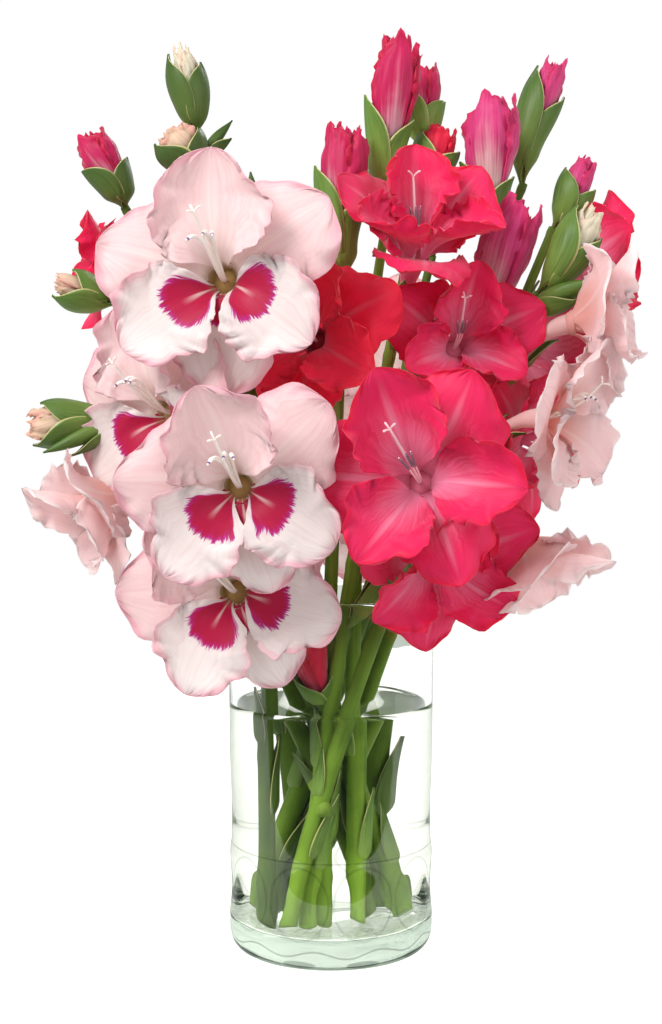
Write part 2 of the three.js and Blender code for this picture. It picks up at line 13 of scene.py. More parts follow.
import bpy
import numpy as np
from numpy.typing import NDArray
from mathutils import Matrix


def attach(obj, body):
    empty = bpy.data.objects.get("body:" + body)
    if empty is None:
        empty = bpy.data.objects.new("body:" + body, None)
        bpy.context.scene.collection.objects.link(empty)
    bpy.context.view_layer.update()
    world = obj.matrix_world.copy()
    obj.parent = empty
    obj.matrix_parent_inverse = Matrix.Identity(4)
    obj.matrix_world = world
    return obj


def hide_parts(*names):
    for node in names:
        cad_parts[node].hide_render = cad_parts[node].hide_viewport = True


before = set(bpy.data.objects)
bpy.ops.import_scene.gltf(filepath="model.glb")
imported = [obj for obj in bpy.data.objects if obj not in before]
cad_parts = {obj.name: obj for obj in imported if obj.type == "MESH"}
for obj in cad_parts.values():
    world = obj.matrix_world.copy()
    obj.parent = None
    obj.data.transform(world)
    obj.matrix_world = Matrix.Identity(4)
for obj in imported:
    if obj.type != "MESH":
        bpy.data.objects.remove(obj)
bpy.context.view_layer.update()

LOG = logging.getLogger("gladiolus")
Array = NDArray[np.float64]
Number = float | Array
Radius = Callable[[Number], Array]
Place = tuple[float, float, float]
Colour = tuple[float, float, float, float]
ATTRIBUTES = ("along", "across", "shade", "mark", "face")
METRES = 0.001  # in a millimetre
TURN = 2 * math.pi
WHITE = (1.0, 1.0, 1.0, 1.0)
TUBE_START = 0.24  # share of its line where a tube or a bud begins, inside its bracts
UP = np.array([0.0, 0.0, 1.0])
BACK = np.array([0.0, 1.0, 0.0])


def smooth(x: Number) -> Array:
    """The smooth step 3x^2 - 2x^3 of x held between 0 and 1."""
    held = np.clip(x, 0.0, 1.0)
    return held * held * (3 - 2 * held)


def lerp(a: Number, b: Number, share: Number) -> Number:
    """The value that lies at a share of the way from a to b."""
    return a + (b - a) * share


def drawn(seed: float, k: float) -> float:
    """A repeatable number from 0 to 1 for a piece: the fractional part of a large sine."""
    return (math.sin(seed * 12.9898 + k * 78.233) * 43758.5453) % 1.0


def unit(vectors: Array) -> Array:
    """The vectors, each divided by its length."""
    return vectors / np.maximum(np.linalg.norm(vectors, axis=-1, keepdims=True), 1e-12)


def dot(a: Array, b: Array) -> Array:
    """The dot product of each pair, kept as a last axis of one."""
    return (a * b).sum(axis=-1, keepdims=True)


def grid(rows: int, columns: int, low: float = -1.0, high: float = 1.0) -> tuple[Array, Array]:
    """The two parameters of a sheet: s from 0 to 1 down the rows, t from low to high across them."""
    s, t = np.meshgrid(np.linspace(0, 1, rows), np.linspace(low, high, columns), indexing="ij")
    return s, t


def wound(rows: int, sides: int) -> tuple[Array, Array]:
    """The two parameters of a tube: the share from 0 to 1 down its rings, and the falling angle."""
    share, turn = grid(rows, sides + 1, 0, TURN)
    return share[:, :-1], -turn[:, :-1]


def stand(name: str, data: bpy.types.ID) -> bpy.types.Object:
    """A new object of that name, linked into the scene."""
    made = bpy.data.objects.new(name, data)
    bpy.context.scene.collection.objects.link(made)
    return made


@dataclass(frozen=True)
class Bezier:
    """A cubic Bezier curve, in two or three dimensions.

    Attributes:
        points: its four points, one a row.
    """

    points: Array

    def at(self, share: Number) -> Array:
        """The place at each share: the four points weighted by Bernstein's cubic polynomials."""
        t = np.asarray(share, float)[..., None]
        u = 1 - t
        a, b, c, d = self.points
        return u**3 * a + 3 * u * u * t * b + 3 * u * t * t * c + t**3 * d

    def heading(self, share: Number) -> Array:
        """The unit tangent at each share, from the derivative of the same polynomials."""
        t = np.asarray(share, float)[..., None]
        u = 1 - t
        a, b, c, d = self.points
        return unit(u * u * (b - a) + 2 * u * t * (c - b) + t * t * (d - c))

    @property
    def length(self) -> float:
        """The length of the curve, measured on 200 chords."""
        return float(np.linalg.norm(np.diff(self.at(np.linspace(0, 1, 201)), axis=0), axis=1).sum())


@dataclass(frozen=True)
class Branch:
    """A curve with a direction that its rings and sheets are turned by.

    Attributes:
        curve: the line itself.
        side: the direction that the angle 0 faces.
    """

    curve: Bezier
    side: Array

    def frames(self, share: Number) -> tuple[Array, Array, Array, Array]:
        """The place at each share, the heading there and two directions square to it."""
        along = self.curve.heading(share)
        across = unit(self.side - along * dot(along, np.broadcast_to(self.side, along.shape)))
        return self.curve.at(share), along, across, np.cross(across, along)

    def around(self, share: Array, angle: Array, radius: Array) -> Array:
        """The points that stand a radius off the line at each share and angle."""
        place, _, across, away = self.frames(share)
        facing = np.cos(angle)[..., None] * across + np.sin(angle)[..., None] * away
        return place + radius[..., None] * facing


class Form:
    """The sheets and tubes of one piece, gathered into one mesh with its point attributes."""

    def __init__(self) -> None:
        """Starts with nothing in it."""
        self.points: list[Array] = []
        self.faces: list[list[int]] = []
        self.finishes: list[int] = []
        self.values: dict[str, list[Array]] = {name: [] for name in ATTRIBUTES}
        self.count = 0

    def add(
        self, points: Array, faces: Sequence[NDArray[np.int64]], finish: int, values: dict[str, Number]
    ) -> None:
        """Takes in some points with their faces.

        Args:
            points: the places, one a row.
            faces: arrays of point numbers, one face a row.
            finish: the number of their finish.
            values: for each attribute, one number or one for each point.
        """
        for block in faces:
            self.faces += (block + self.count).tolist()
            self.finishes += [finish] * len(block)
        for name, store in self.values.items():
            store.append(np.broadcast_to(values.get(name, 0.0), (len(points),)))
        self.points.append(points)
        self.count += len(points)

    def sheet(self, middle: Array, thickness: Number, finish: int = 0, **values: Number) -> None:
        """Adds a thin closed sheet: each side stands half the thickness off the middle surface along its
        normal, the cross product of its two gradients, and a band joins the two edges.

        Args:
            middle: the middle surface, a grid of places.
            thickness: one number or a grid of them.
            finish: the number of its finish.
            values: grids of attribute values, or single numbers.
        """
        rows, columns = middle.shape[:2]
        normal = unit(np.cross(np.gradient(middle, axis=0), np.gradient(middle, axis=1)))
        half = np.broadcast_to(np.asarray(thickness, float), (rows, columns))[..., None] / 2
        number = np.arange(rows * columns).reshape(rows, columns)
        below = rows * columns
        corners = [number[:-1, :-1], number[1:, :-1], number[1:, 1:], number[:-1, 1:]]
        top = np.stack(corners, -1).reshape(-1, 4)
        edge = np.concatenate([number[0, :-1], number[:-1, -1], number[-1, :0:-1], number[:0:-1, 0]])
        after = np.roll(edge, -1)
        band = np.stack([edge, after, after + below, edge + below], -1)
        points = np.stack([middle + half * normal, middle - half * normal]).reshape(-1, 3)
        flat = {k: np.tile(np.broadcast_to(v, (rows, columns)).ravel(), 2) for k, v in values.items()}
        flat["face"] = np.repeat([1.0, 0.0], below)
        self.add(points, [top, top[:, ::-1] + below, band], finish, flat)

    def tube(self, rings: Array, finish: int = 0, **values: Number) -> None:
        """Adds a closed tube: quads join each ring to the next, and a fan on the ring's middle closes each
        end.

        Args:
            rings: the places, ring by ring, each ring running so that it turns left seen from its end.
            finish: the number of its finish.
            values: grids of attribute values, or single numbers.
        """
        count, sides = rings.shape[:2]
        number = np.arange(count * sides).reshape(count, sides)
        after = np.roll(number, -1, axis=1)
        walls = np.stack([number[:-1], after[:-1], after[1:], number[1:]], -1).reshape(-1, 4)
        first, last = count * sides, count * sides + 1
        start = np.stack([np.full(sides, first), after[0], number[0]], -1)
        end = np.stack([np.full(sides, last), number[-1], after[-1]], -1)
        points = np.concatenate([rings.reshape(-1, 3), rings[0].mean(0)[None], rings[-1].mean(0)[None]])
        flat = {}
        for name, value in values.items():
            spread = np.broadcast_to(value, (count, sides))
            flat[name] = np.concatenate([spread.ravel(), [spread[0].mean(), spread[-1].mean()]])
        self.add(points, [walls, start, end], finish, flat)

    def piece(self, name: str, node: str, finishes: Sequence[bpy.types.Material]) -> bpy.types.Object:
        """Makes the mesh and its object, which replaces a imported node.

        Args:
            name: the object's name.
            node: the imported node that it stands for.
            finishes: its materials, in the order of their numbers.

        Returns:
            The new object.
        """
        mesh = bpy.data.meshes.new(name)
        mesh.from_pydata(np.concatenate(self.points) * METRES, [], self.faces)
        mesh.polygons.foreach_set("use_smooth", np.ones(len(self.faces), bool))
        mesh.polygons.foreach_set("material_index", np.array(self.finishes, np.int32))
        for label, store in self.values.items():
            layer = mesh.attributes.new(label, "FLOAT", "POINT")
            layer.data.foreach_set("value", np.concatenate(store).astype(np.float32))
        for finish in finishes:
            mesh.materials.append(finish)
        mesh.update()
        made = stand(name, mesh)
        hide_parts(node)
        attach(made, "root")
        LOG.info("%s: %d points, %d faces, stands for %s", name, self.count, len(self.faces), node)
        return made


def colour(code: str) -> Colour:
    """A screen colour such as #d8194b as linear red, green, blue and alpha."""
    parts = (int(code[k : k + 2], 16) / 255 for k in (1, 3, 5))
    red, green, blue = (x / 12.92 if x <= 0.04045 else ((x + 0.055) / 1.055) ** 2.4 for x in parts)
    return red, green, blue, 1.0


class Value:
    """A shader socket that takes part in expressions."""

    def __init__(self, shading: "Shading", socket: bpy.types.NodeSocket) -> None:
        """Wraps an output socket of a material's nodes."""
        self.shading = shading
        self.socket = socket

    def __add__(self, other: "Term") -> "Value":
        """The sum."""
        return self.shading.math("ADD", self, other)

    __radd__ = __add__

    def __sub__(self, other: "Term") -> "Value":
        """The difference."""
        return self.shading.math("SUBTRACT", self, other)

    def __rsub__(self, other: "Term") -> "Value":
        """The difference, the other way round."""
        return self.shading.math("SUBTRACT", other, self)

    def __mul__(self, other: "Term") -> "Value":
        """The product."""
        return self.shading.math("MULTIPLY", self, other)

    __rmul__ = __mul__

    def __truediv__(self, other: "Term") -> "Value":
        """The quotient."""
        return self.shading.math("DIVIDE", self, other)

    def __pow__(self, power: float) -> "Value":
        """The power."""
        return self.shading.math("POWER", self, power)

    def size(self) -> "Value":
        """The value without its sign."""
        return self.shading.math("ABSOLUTE", self)

    def step(self, low: float, high: float) -> "Value":
        """0 below low, 1 above high, and a smooth rise between them."""
        inputs = {"Value": self, "From Min": low, "From Max": high}
        return self.shading.node("ShaderNodeMapRange", {"interpolation_type": "SMOOTHSTEP"}, inputs)


Term = Value | float
Tone = Value | Colour | str


class Shading:
    """The nodes of one material, or of the world."""

    def __init__(self, name: str, owner: bpy.types.World | None = None) -> None:
        """Starts an empty material of that name, or takes over the world that is given as the owner."""
        self.owner = owner or bpy.data.materials.new(name)
        self.owner.use_nodes = True
        self.tree = self.owner.node_tree
        self.tree.nodes.clear()

    def node(self, kind: str, settings: dict[str, Any], inputs: dict[Any, Any], output: Any = 0) -> Value:
        """Adds a node.

        Args:
            kind: its type.
            settings: its own settings, set first.
            inputs: for each socket, by name or number, a number, a colour or a Value to link.
            output: the name or number of the output that is wanted.

        Returns:
            That output.
        """
        made = self.tree.nodes.new(kind)
        for name, value in settings.items():
            setattr(made, name, value)
        for name, value in inputs.items():
            if isinstance(value, Value):
                self.tree.links.new(value.socket, made.inputs[name])
            else:
                made.inputs[name].default_value = value
        return Value(self, made.outputs[output])

    def math(self, operation: str, *operands: Term) -> Value:
        """A Math node with this operation on the operands."""
        return self.node("ShaderNodeMath", {"operation": operation}, dict(enumerate(operands)))

    def attribute(self, name: str) -> Value:
        """One of the mesh's own point attributes."""
        return self.node("ShaderNodeAttribute", {"attribute_name": name}, {}, "Fac")

    def mix(self, share: Term, a: Tone, b: Tone, blend: str = "MIX") -> Value:
        """The colour at a share of the way from a to b, or to b blended with it in another way."""
        settings = {"data_type": "RGBA", "blend_type": blend}
        colours = {6: colour(a) if isinstance(a, str) else a, 7: colour(b) if isinstance(b, str) else b}
        return self.node("ShaderNodeMix", settings, {0: share, **colours}, 2)

    def blend(self, share: Term, a: Value, b: Value) -> Value:
        """The shader that lies at a share of the way from a to b."""
        return self.node("ShaderNodeMixShader", {}, {0: share, 1: a, 2: b})

    def ray(self, kind: str) -> Value:
        """What the light path tells of a ray, such as Is Camera Ray."""
        return self.node("ShaderNodeLightPath", {}, {}, kind)

    def place(self, x: Term, y: Term, z: Term) -> Value:
        """Three values as one vector."""
        return self.node("ShaderNodeCombineXYZ", {}, {0: x, 1: y, 2: z})

    def axes(self, where: Value) -> list[Value]:
        """The three values of a vector."""
        return [self.node("ShaderNodeSeparateXYZ", {}, {0: where}, axis) for axis in range(3)]

    def object_place(self) -> Value:
        """The place on the piece, in metres."""
        return self.node("ShaderNodeTexCoord", {}, {}, "Object")

    def noise(self, where: Value, scale: float, detail: float = 3.0, roughness: float = 0.5) -> Value:
        """Smooth noise from 0 to 1 in three dimensions."""
        inputs = {"Vector": where, "Scale": scale, "Detail": detail, "Roughness": roughness}
        return self.node("ShaderNodeTexNoise", {}, inputs, "Fac")

    def bump(self, height: Value, strength: float, distance: float) -> Value:
        """A normal that a height tips."""
        return self.node("ShaderNodeBump", {}, {"Strength": strength, "Distance": distance, "Height": height})

    def principled(self, inputs: dict[str, Any]) -> Value:
        """The main shader."""
        return self.node("ShaderNodeBsdfPrincipled", {}, inputs)

    def finish(
        self, surface: Value, volume: Value | None = None, output: str = "ShaderNodeOutputMaterial"
    ) -> bpy.types.ID:
        """Links the surface, and what fills the body, to an output, and gives the material or the world."""
        end = self.tree.nodes.new(output)
        self.tree.links.new(surface.socket, end.inputs["Surface"])
        if volume is not None:
            self.tree.links.new(volume.socket, end.inputs["Volume"])
        return self.owner


@dataclass(frozen=True)
class PetalFinish:
    """Soft satin petals, veined along their length and seen partly by the light that comes through.

    Attributes:
        name: the material's name.
        heart: colour towards the petal's root.
        body: colour of its broad middle.
        margin: colour of its waved edge.
        midrib: colour of the streak down its middle.
        throat: colour deep in the throat.
        heart_reach: the share of the length over which the heart gives way to the body.
        streak: how strong the midrib's streak is.
        vein: how much the veins darken.
        lower: colour of the three lower petals where they carry a blotch.
        blotch: colour of the blotch.
        fringe: colour of the blotch's fringed edge.
        through: share of light that comes through.
        veins: colour that the veins multiply in.
    """

    name: str
    heart: str
    body: str
    margin: str
    midrib: str
    throat: str
    heart_reach: float = 0.5
    streak: float = 0.6
    vein: float = 0.25
    lower: str = "#f6f0ed"
    blotch: str = "#c20a46"
    fringe: str = "#c02c9a"
    through: float = 0.34
    veins: str = "#d48a94"

    def material(self) -> bpy.types.Material:
        """The petal material: colours run along and across the petal, and noise drawn out along the petal
        makes its veins, the fringe of its blotch and its bump."""
        use = Shading(self.name)
        along, across, shade, mark, face = (use.attribute(name) for name in ATTRIBUTES)
        width = across.size()
        strands = use.noise(use.place(across * 16.0 + shade * 40.0, along * 1.4, shade * 9.0), 1.0, 4.0, 0.62)
        fine = use.noise(use.place(across * 60.0 + shade * 70.0, along * 3.0, shade * 5.0), 1.0, 2.0, 0.5)
        cloud = use.noise(use.object_place(), 55.0, 3.0, 0.55)
        ragged = (strands - 0.5) * 0.5 + (cloud - 0.5) * 0.4
        spare = width**2.0 * 0.45 * along.step(0.1, 0.45)
        heart = 1.0 - (along + spare + ragged * 0.7 - face * 0.12).step(0.12, self.heart_reach + 0.2)
        edge = (width**3.0 * 0.7 * along.step(0.2, 0.6) + along**5.0 * 0.75 + ragged * 0.6).step(0.4, 1.0)
        tone = use.mix(heart, self.body, self.heart)
        lower = mark.step(0.1, 0.3)
        tone = use.mix(lower * (1.0 - edge) * 0.85, tone, self.lower)
        tone = use.mix(edge, tone, self.margin)
        rib = (1.0 - (width + (fine - 0.5) * 0.05).step(0.0, 0.1)) * (1.0 - along.step(0.5, 1.0))
        tone = use.mix(rib * self.streak, tone, self.midrib)
        tone = use.mix(strands.step(0.38, 0.75) * self.vein, tone, self.veins, "MULTIPLY")
        far = (along / (mark * 0.56 + 0.001)) ** 3.0
        spread = far + (width * (1.5 - along)) ** 2.4 + (strands - 0.5) * 0.75 + (fine - 0.5) * 0.55
        marked = lower * (1.0 - face)
        tone = use.mix(marked * (1.0 - spread.step(0.93, 1.03)), tone, self.fringe)
        tone = use.mix(marked * (1.0 - spread.step(0.72, 1.0)), tone, self.blotch)
        streak = marked * (1.0 - (width + (fine - 0.5) * 0.2).step(0.02, 0.12))
        tone = use.mix(streak * (1.0 - along.step(0.22, 0.42)) * 0.6, tone, self.midrib)
        deep = (1.0 - face) * (1.0 - mark * 0.6) * (1.0 - (along + ragged * 0.1).step(0.03, 0.16))
        tone = use.mix(deep, tone, self.throat)
        inputs = {
            "Base Color": tone,
            "Roughness": 0.42 + 0.2 * cloud,
            "Specular IOR Level": 0.35,
            "Sheen Weight": 0.25,
            "Sheen Roughness": 0.45,
            "Normal": use.bump(strands * 0.7 + fine * 0.3, 0.35, 0.0006),
        }
        glow = use.node("ShaderNodeBsdfTranslucent", {}, {"Color": tone})
        return use.finish(use.blend(self.through, use.principled(inputs), glow))


@dataclass(frozen=True)
class GreenFinish:
    """The waxy green skin of a stem, a bract or a closed tip, ribbed along its length.

    Attributes:
        name: the material's name.
        low: colour towards the foot or the base.
        high: colour towards the tip.
        dark: colour of its darker strands.
        edge: colour of a bract's thin margin.
        edge_from: how far across the margin begins; past 1 there is none.
        ribs: how many strands lie across it.
        shaded: partly the duller spikes' own green, partly painted shade on the spikes further back.
        shine: how much its surface mirrors.
    """

    name: str
    low: str
    high: str
    dark: str
    edge: str = "#c9a98c"
    edge_from: float = 0.92
    ribs: float = 14.0
    shaded: str = "#2a3a1c"
    shine: float = 0.3

    def material(self) -> bpy.types.Material:
        """The green material: noise drawn out along the piece streaks its colour and ribs its surface."""
        use = Shading(self.name)
        along, across, shade, mark = (use.attribute(name) for name in ATTRIBUTES[:4])
        drawn_out = use.place(across * self.ribs + shade * 30.0, along * 2.2, shade * 9.0)
        strands = use.noise(drawn_out, 1.0, 4.0, 0.6)
        cloud = use.noise(use.object_place(), 28.0, 3.0, 0.6)
        tone = use.mix((along + (cloud - 0.5) * 0.5).step(0.0, 1.0), self.low, self.high)
        # partly painted shade: duller spikes, mostly those further back, are mixed towards the dark shaded
        # green
        tone = use.mix((1.0 - mark) * 0.92, tone, self.shaded)
        tone = use.mix((strands + (cloud - 0.5) * 0.6).step(0.42, 0.85) * 0.75, tone, self.dark)
        rim = across.size() + (cloud - 0.5) * 0.16 + along**6.0 * 0.1
        tone = use.mix(rim.step(self.edge_from, self.edge_from + 0.06), tone, self.edge)
        inputs = {
            "Base Color": tone,
            "Roughness": 0.36 + 0.22 * strands,
            "Specular IOR Level": self.shine,
            "Normal": use.bump(strands, 0.3, 0.0008),
        }
        return use.finish(use.principled(inputs))


@dataclass(frozen=True)
class StamenFinish:
    """Matt filaments and anthers.

    Attributes:
        name: the material's name.
        thread: colour of the filaments and the style.
        anther: colour of the anthers.
        tip: colour of the anthers' tips.
    """

    name: str
    thread: str
    anther: str
    tip: str = "#6a4a86"

    def material(self) -> bpy.types.Material:
        """The stamen material: the mark turns a thread into an anther, which grains of pollen roughen."""
        use = Shading(self.name)
        grains = use.noise(use.object_place(), 2600.0, 2.0, 0.6)
        mark = use.attribute("mark")
        tone = use.mix(mark * (0.6 + 0.4 * grains), self.thread, self.anther)
        tone = use.mix(use.attribute("along").step(0.95, 0.965) * mark.step(0.2, 0.4), tone, self.tip)
        inputs = {
            "Base Color": tone,
            "Roughness": 0.5 + 0.3 * grains,
            "Normal": use.bump(grains, 0.3, 0.0002),
        }
        return use.finish(use.principled(inputs))


@dataclass(frozen=True)
class ClearFinish:
    """A clear body, such as glass or water.

    Attributes:
        name: the material's name.
        tint: colour of what passes through a surface of it.
        index: its index of refraction.
        ripple: how much its surface waves.
        soak: how much light a marked body takes away inside, per metre.
        line: colour of the painted refraction lines at its pressed marks.
        marks: how many pressed marks stand round it.
        depth: colour that a marked body takes on inside.
    """

    name: str
    tint: str
    index: float
    ripple: float
    soak: float = 12.0
    line: str = "#44544a"
    marks: int = 0
    depth: str = "#a9bfae"

    # where the painted refraction lines of the pressed pattern lie above the foot, in metres, and how far
    # they reach up and down
    mark_height, mark_reach = 0.035, 0.019
    oval_height, oval_reach = 0.0035, 0.0022
    foot_height, foot_swing = 0.0092, 0.0018
    ledge_height = 0.0565
    stroke = (0.0002, 0.0007)

    def contours(self, use: Shading) -> Value:
        """Painted refraction lines: thin dark lines painted into the glass where the pressed relief shows by
        refraction: a ring round each round mark, a ledge line above them, and a waved line with an oval under
        each mark on the foot."""
        x, y, z = use.axes(use.object_place())
        turn = use.math("ARCTAN2", y, x) * (self.marks / TURN)
        part = use.math("FLOORED_MODULO", turn + 0.5, 1.0) - 0.5
        up = (z - self.mark_height) * (1 / self.mark_reach)
        reach = (part * 2.17) ** 2.0 + up * up
        ring = 1.0 - (reach - 1.0).size().step(0.03, 0.12)
        ledge = 1.0 - (z - self.ledge_height).size().step(*self.stroke)
        swing = use.math("SINE", turn * TURN) * self.foot_swing
        foot = 1.0 - (z - self.foot_height - swing).size().step(*self.stroke)
        low = (z - self.oval_height) * (1 / self.oval_reach)
        oval = 1.0 - ((part * 3.6) ** 2.0 + low**2.0).step(0.7, 1.05)
        return use.attribute("mark") * (ring * 0.4 + ledge * 0.55 + foot * 0.75 + oval * 0.8)

    def material(self) -> bpy.types.Material:
        """The clear material: it bends light, lets lamps through, and waves slightly like pressed glass."""
        use = Shading(self.name)
        wave = use.noise(use.object_place(), 22.0, 2.0, 0.5)
        # painted refraction lines: the glass's tint is darkened to the line colour along them
        tone = use.mix(self.contours(use) * 0.9, self.tint, self.line) if self.marks else colour(self.tint)
        inputs = {
            "Base Color": tone,
            "Roughness": 0.0,
            "IOR": self.index,
            "Transmission Weight": 1.0,
            "Normal": use.bump(wave, self.ripple, 0.002),
        }
        clear = use.node("ShaderNodeBsdfTransparent", {}, {"Color": colour(self.tint)})
        inside = None
        if self.marks:
            fill = {"Color": colour(self.depth), "Density": self.soak}
            inside = use.node("ShaderNodeVolumeAbsorption", {}, fill)
        return use.finish(use.blend(use.ray("Is Shadow Ray"), use.principled(inputs), clear), inside)


class Tint(Enum):
    """The kinds of colour that the blooms and buds come in."""

    PALE = PetalFinish("petal_pale", "#faece8", "#fae0e0", "#f6c6d0", "#fcf1ec", "#b4965a", vein=0.15)
    SALMON = PetalFinish(
        "petal_salmon", "#f4c2b8", "#fbe4e4", "#fdf2f1", "#fbeeea", "#f0cbbb",
        0.5, 0.5, 0.14, through=0.45,
    )
    HOT = PetalFinish(
        "petal_hot", "#f696ba", "#f4286c", "#f41a54", "#f8aac8", "#f08cab",
        0.62, 0.6, 0.3, veins="#d83c74",
    )
    CRIMSON = PetalFinish(
        "petal_crimson", "#ee5478", "#fa2250", "#fa2448", "#f08098", "#8a2030",
        0.4, 0.45, 0.26, veins="#c82850",
    )
    ROSE = PetalFinish(
        "petal_rose", "#f3c8d6", "#de2068", "#e01c50", "#f3d0da", "#dfe0c0",
        0.42, 0.25, 0.45, veins="#b81858",
    )
    CANDY = PetalFinish(
        "petal_candy", "#f6e8dc", "#ea4a92", "#e22c70", "#f6dfe4", "#dfe3bb",
        0.48, 0.25, 0.45, veins="#d03a84",
    )
    PEACH = PetalFinish("petal_peach", "#f4eacf", "#f4d9bc", "#f2beac", "#f8ecd8", "#dfe2b0", 0.5, 0.3, 0.3)
    CREAM = PetalFinish("petal_cream", "#eef0cf", "#f3eed6", "#f2dcc4", "#f8f3de", "#d9e2a8", 0.6, 0.3, 0.25)


class Palette:
    """The finishes that pieces share, each made once."""

    def __init__(self) -> None:
        """Makes every finish."""
        self.petals = {tint: tint.value.material() for tint in Tint}
        skin = GreenFinish("stem_skin", "#86aa3a", "#7c983e", "#2c4812", edge_from=1.4, ribs=2.0, shine=0.1)
        self.stem = skin.material()
        self.bract = GreenFinish("bract_skin", "#8fae50", "#628636", "#385420", "#c6c084", 0.95).material()
        self.threads = StamenFinish("stamen_pale", "#f3e9df", "#fbf6f2").material()
        self.dark_threads = StamenFinish("stamen_dark", "#f7ccd2", "#33204a").material()
        self.glass = ClearFinish("clear_glass", "#fdfefd", 1.5, 0.12, marks=10).material()
        self.water = ClearFinish("clear_water", "#f9f8f4", 1.33, 0.0).material()

    def stamens(self, tint: Tint) -> bpy.types.Material:
        """The stamens that go with a bloom: pale in pale blooms, dark violet anthers in the others."""
        return self.threads if tint in (Tint.PALE, Tint.SALMON) else self.dark_threads


@dataclass(frozen=True)
class Leaf:
    """A closed green tip at the end of a spike.

    Attributes:
        at: share of the stem where it leaves.
        tip: its point.
        radius: its fullest radius.
    """

    at: float
    tip: Place
    radius: float

    def radius_at(self, share: Number) -> Array:
        """Its radius, which swells and narrows as the sine of its length."""
        return np.maximum(0.5, self.radius * np.sin(np.pi * (0.14 + 0.84 * np.asarray(share))))


@dataclass(frozen=True)
class Bud:
    """A furled bud that shows colour, with its pair of bracts.

    Attributes:
        name: its number on the spike.
        at: share of the stem where it leaves.
        tip: its mouth.
        radius: its fullest radius.
        bract: the length of its bracts.
        tint: its colour.
    """

    name: str
    at: float
    tip: Place
    radius: float
    bract: float
    tint: Tint

    base = 0.5  # its radius in its bracts, against the fullest
    fullest = 0.62  # share of its length
    narrowing = 0.3
    fold_depth = 0.12
    bract_scale = 50.0  # how long the bracts are of a bud that begins at TUBE_START

    @property
    def start(self) -> float:
        """Share of its line where it begins, inside its bracts."""
        return TUBE_START * self.bract / self.bract_scale

    def radius_at(self, share: Number) -> Array:
        """Its radius: slender in its bracts, fullest at two thirds, narrower at its mouth."""
        swelling = lerp(self.base, 1, smooth(np.asarray(share) / self.fullest))
        narrowing = 1 - self.narrowing * smooth((np.asarray(share) - self.fullest) / (1 - self.fullest))
        return self.radius * swelling * narrowing

    def held_radius(self, at: Number) -> Array:
        """The radius that its bracts clasp, by share of its line."""
        own = np.maximum(0, (np.asarray(at) - self.start) / (1 - self.start))
        return (1 + self.fold_depth) * self.radius_at(own)

    def fill(self, form: Form, line: Branch, seed: float) -> None:
        """Adds the rolled petals: two whorls of three, each petal wrapped part of the way round the line
        with one edge over its neighbour, pleated along its length and frilled at its mouth.

        Args:
            form: where they go.
            line: the bud's line.
            seed: the bud's own seed.
        """
        s, t = grid(28, 18)
        for k in range(6):
            inner = k >= 3
            draw = [drawn(seed, 10 * k + n) for n in range(4)]
            jag = 0.03 * np.sin(7 * t + 6 * draw[2]) + 0.012 * np.sin(17 * t + 6 * draw[1])
            lean = 0.3 * (draw[3] - 0.5)
            reach = 1 - (0.16 + 0.14 * draw[0]) * np.abs(t - lean) ** 1.6 - 0.1 * draw[1] + jag
            own = s * np.minimum(reach, 1.0)
            share = lerp(self.start, 1, own)
            wrap = 1.3 - 0.15 * inner
            angle = TURN * (k / 3 + inner / 6) + 6 * drawn(seed, 3) + 0.7 * own + t * wrap
            mouth = smooth((own - 0.45) / 0.5)
            pleat = 0.06 * np.cos(9 * angle + 5 * draw[2]) * smooth(own / 0.5)
            pleat = pleat + 0.03 * np.cos(23 * angle + 4 * s)
            rim = smooth((own - 0.25) / 0.4) * np.abs(t) ** 4 + mouth * smooth((s - 0.75) / 0.25)
            rim = np.clip(rim, 0, 1)
            frill = 0.16 * rim * (np.sin(11 * t + 17 * s + 6 * draw[3]) + 0.5 * np.sin(34 * s + 6 * draw[0]))
            body = lerp(1.0, 0.68, inner) * (1 + 0.09 * t + pleat + frill) + 0.14 * mouth * (1 - inner)
            middle = line.around(share, angle, self.radius_at(own) * body)
            thin = 0.35 + 0.4 * (1 - mouth)
            form.sheet(middle, thin, along=0.1 + 0.9 * s, across=t, shade=draw[0], mark=0.0)


@dataclass(frozen=True)
class Habit:
    """How the petals of one kind of bloom are cut, folded and waved.

    Attributes:
        point: how pointed they are, from 0 to 1.
        spread: their breadth against the plan's.
        fold: how far their edges stand forward of a crease along the midrib, in millimetres.
        cup: how much more they are dished across.
        ruffle: the height of their broad waves, in millimetres.
        crimp: the height of their crimped margin, in millimetres.
        sway: how unevenly they hang, in degrees.
    """

    point: float
    spread: float
    fold: float
    cup: float
    ruffle: float
    crimp: float
    sway: float


BROAD = Habit(0.6, 1.24, 1.2, 0.02, 6.4, 3.8, 11.0)
POINTED = Habit(0.9, 1.16, 2.6, 0.18, 6.6, 3.6, 12.0)


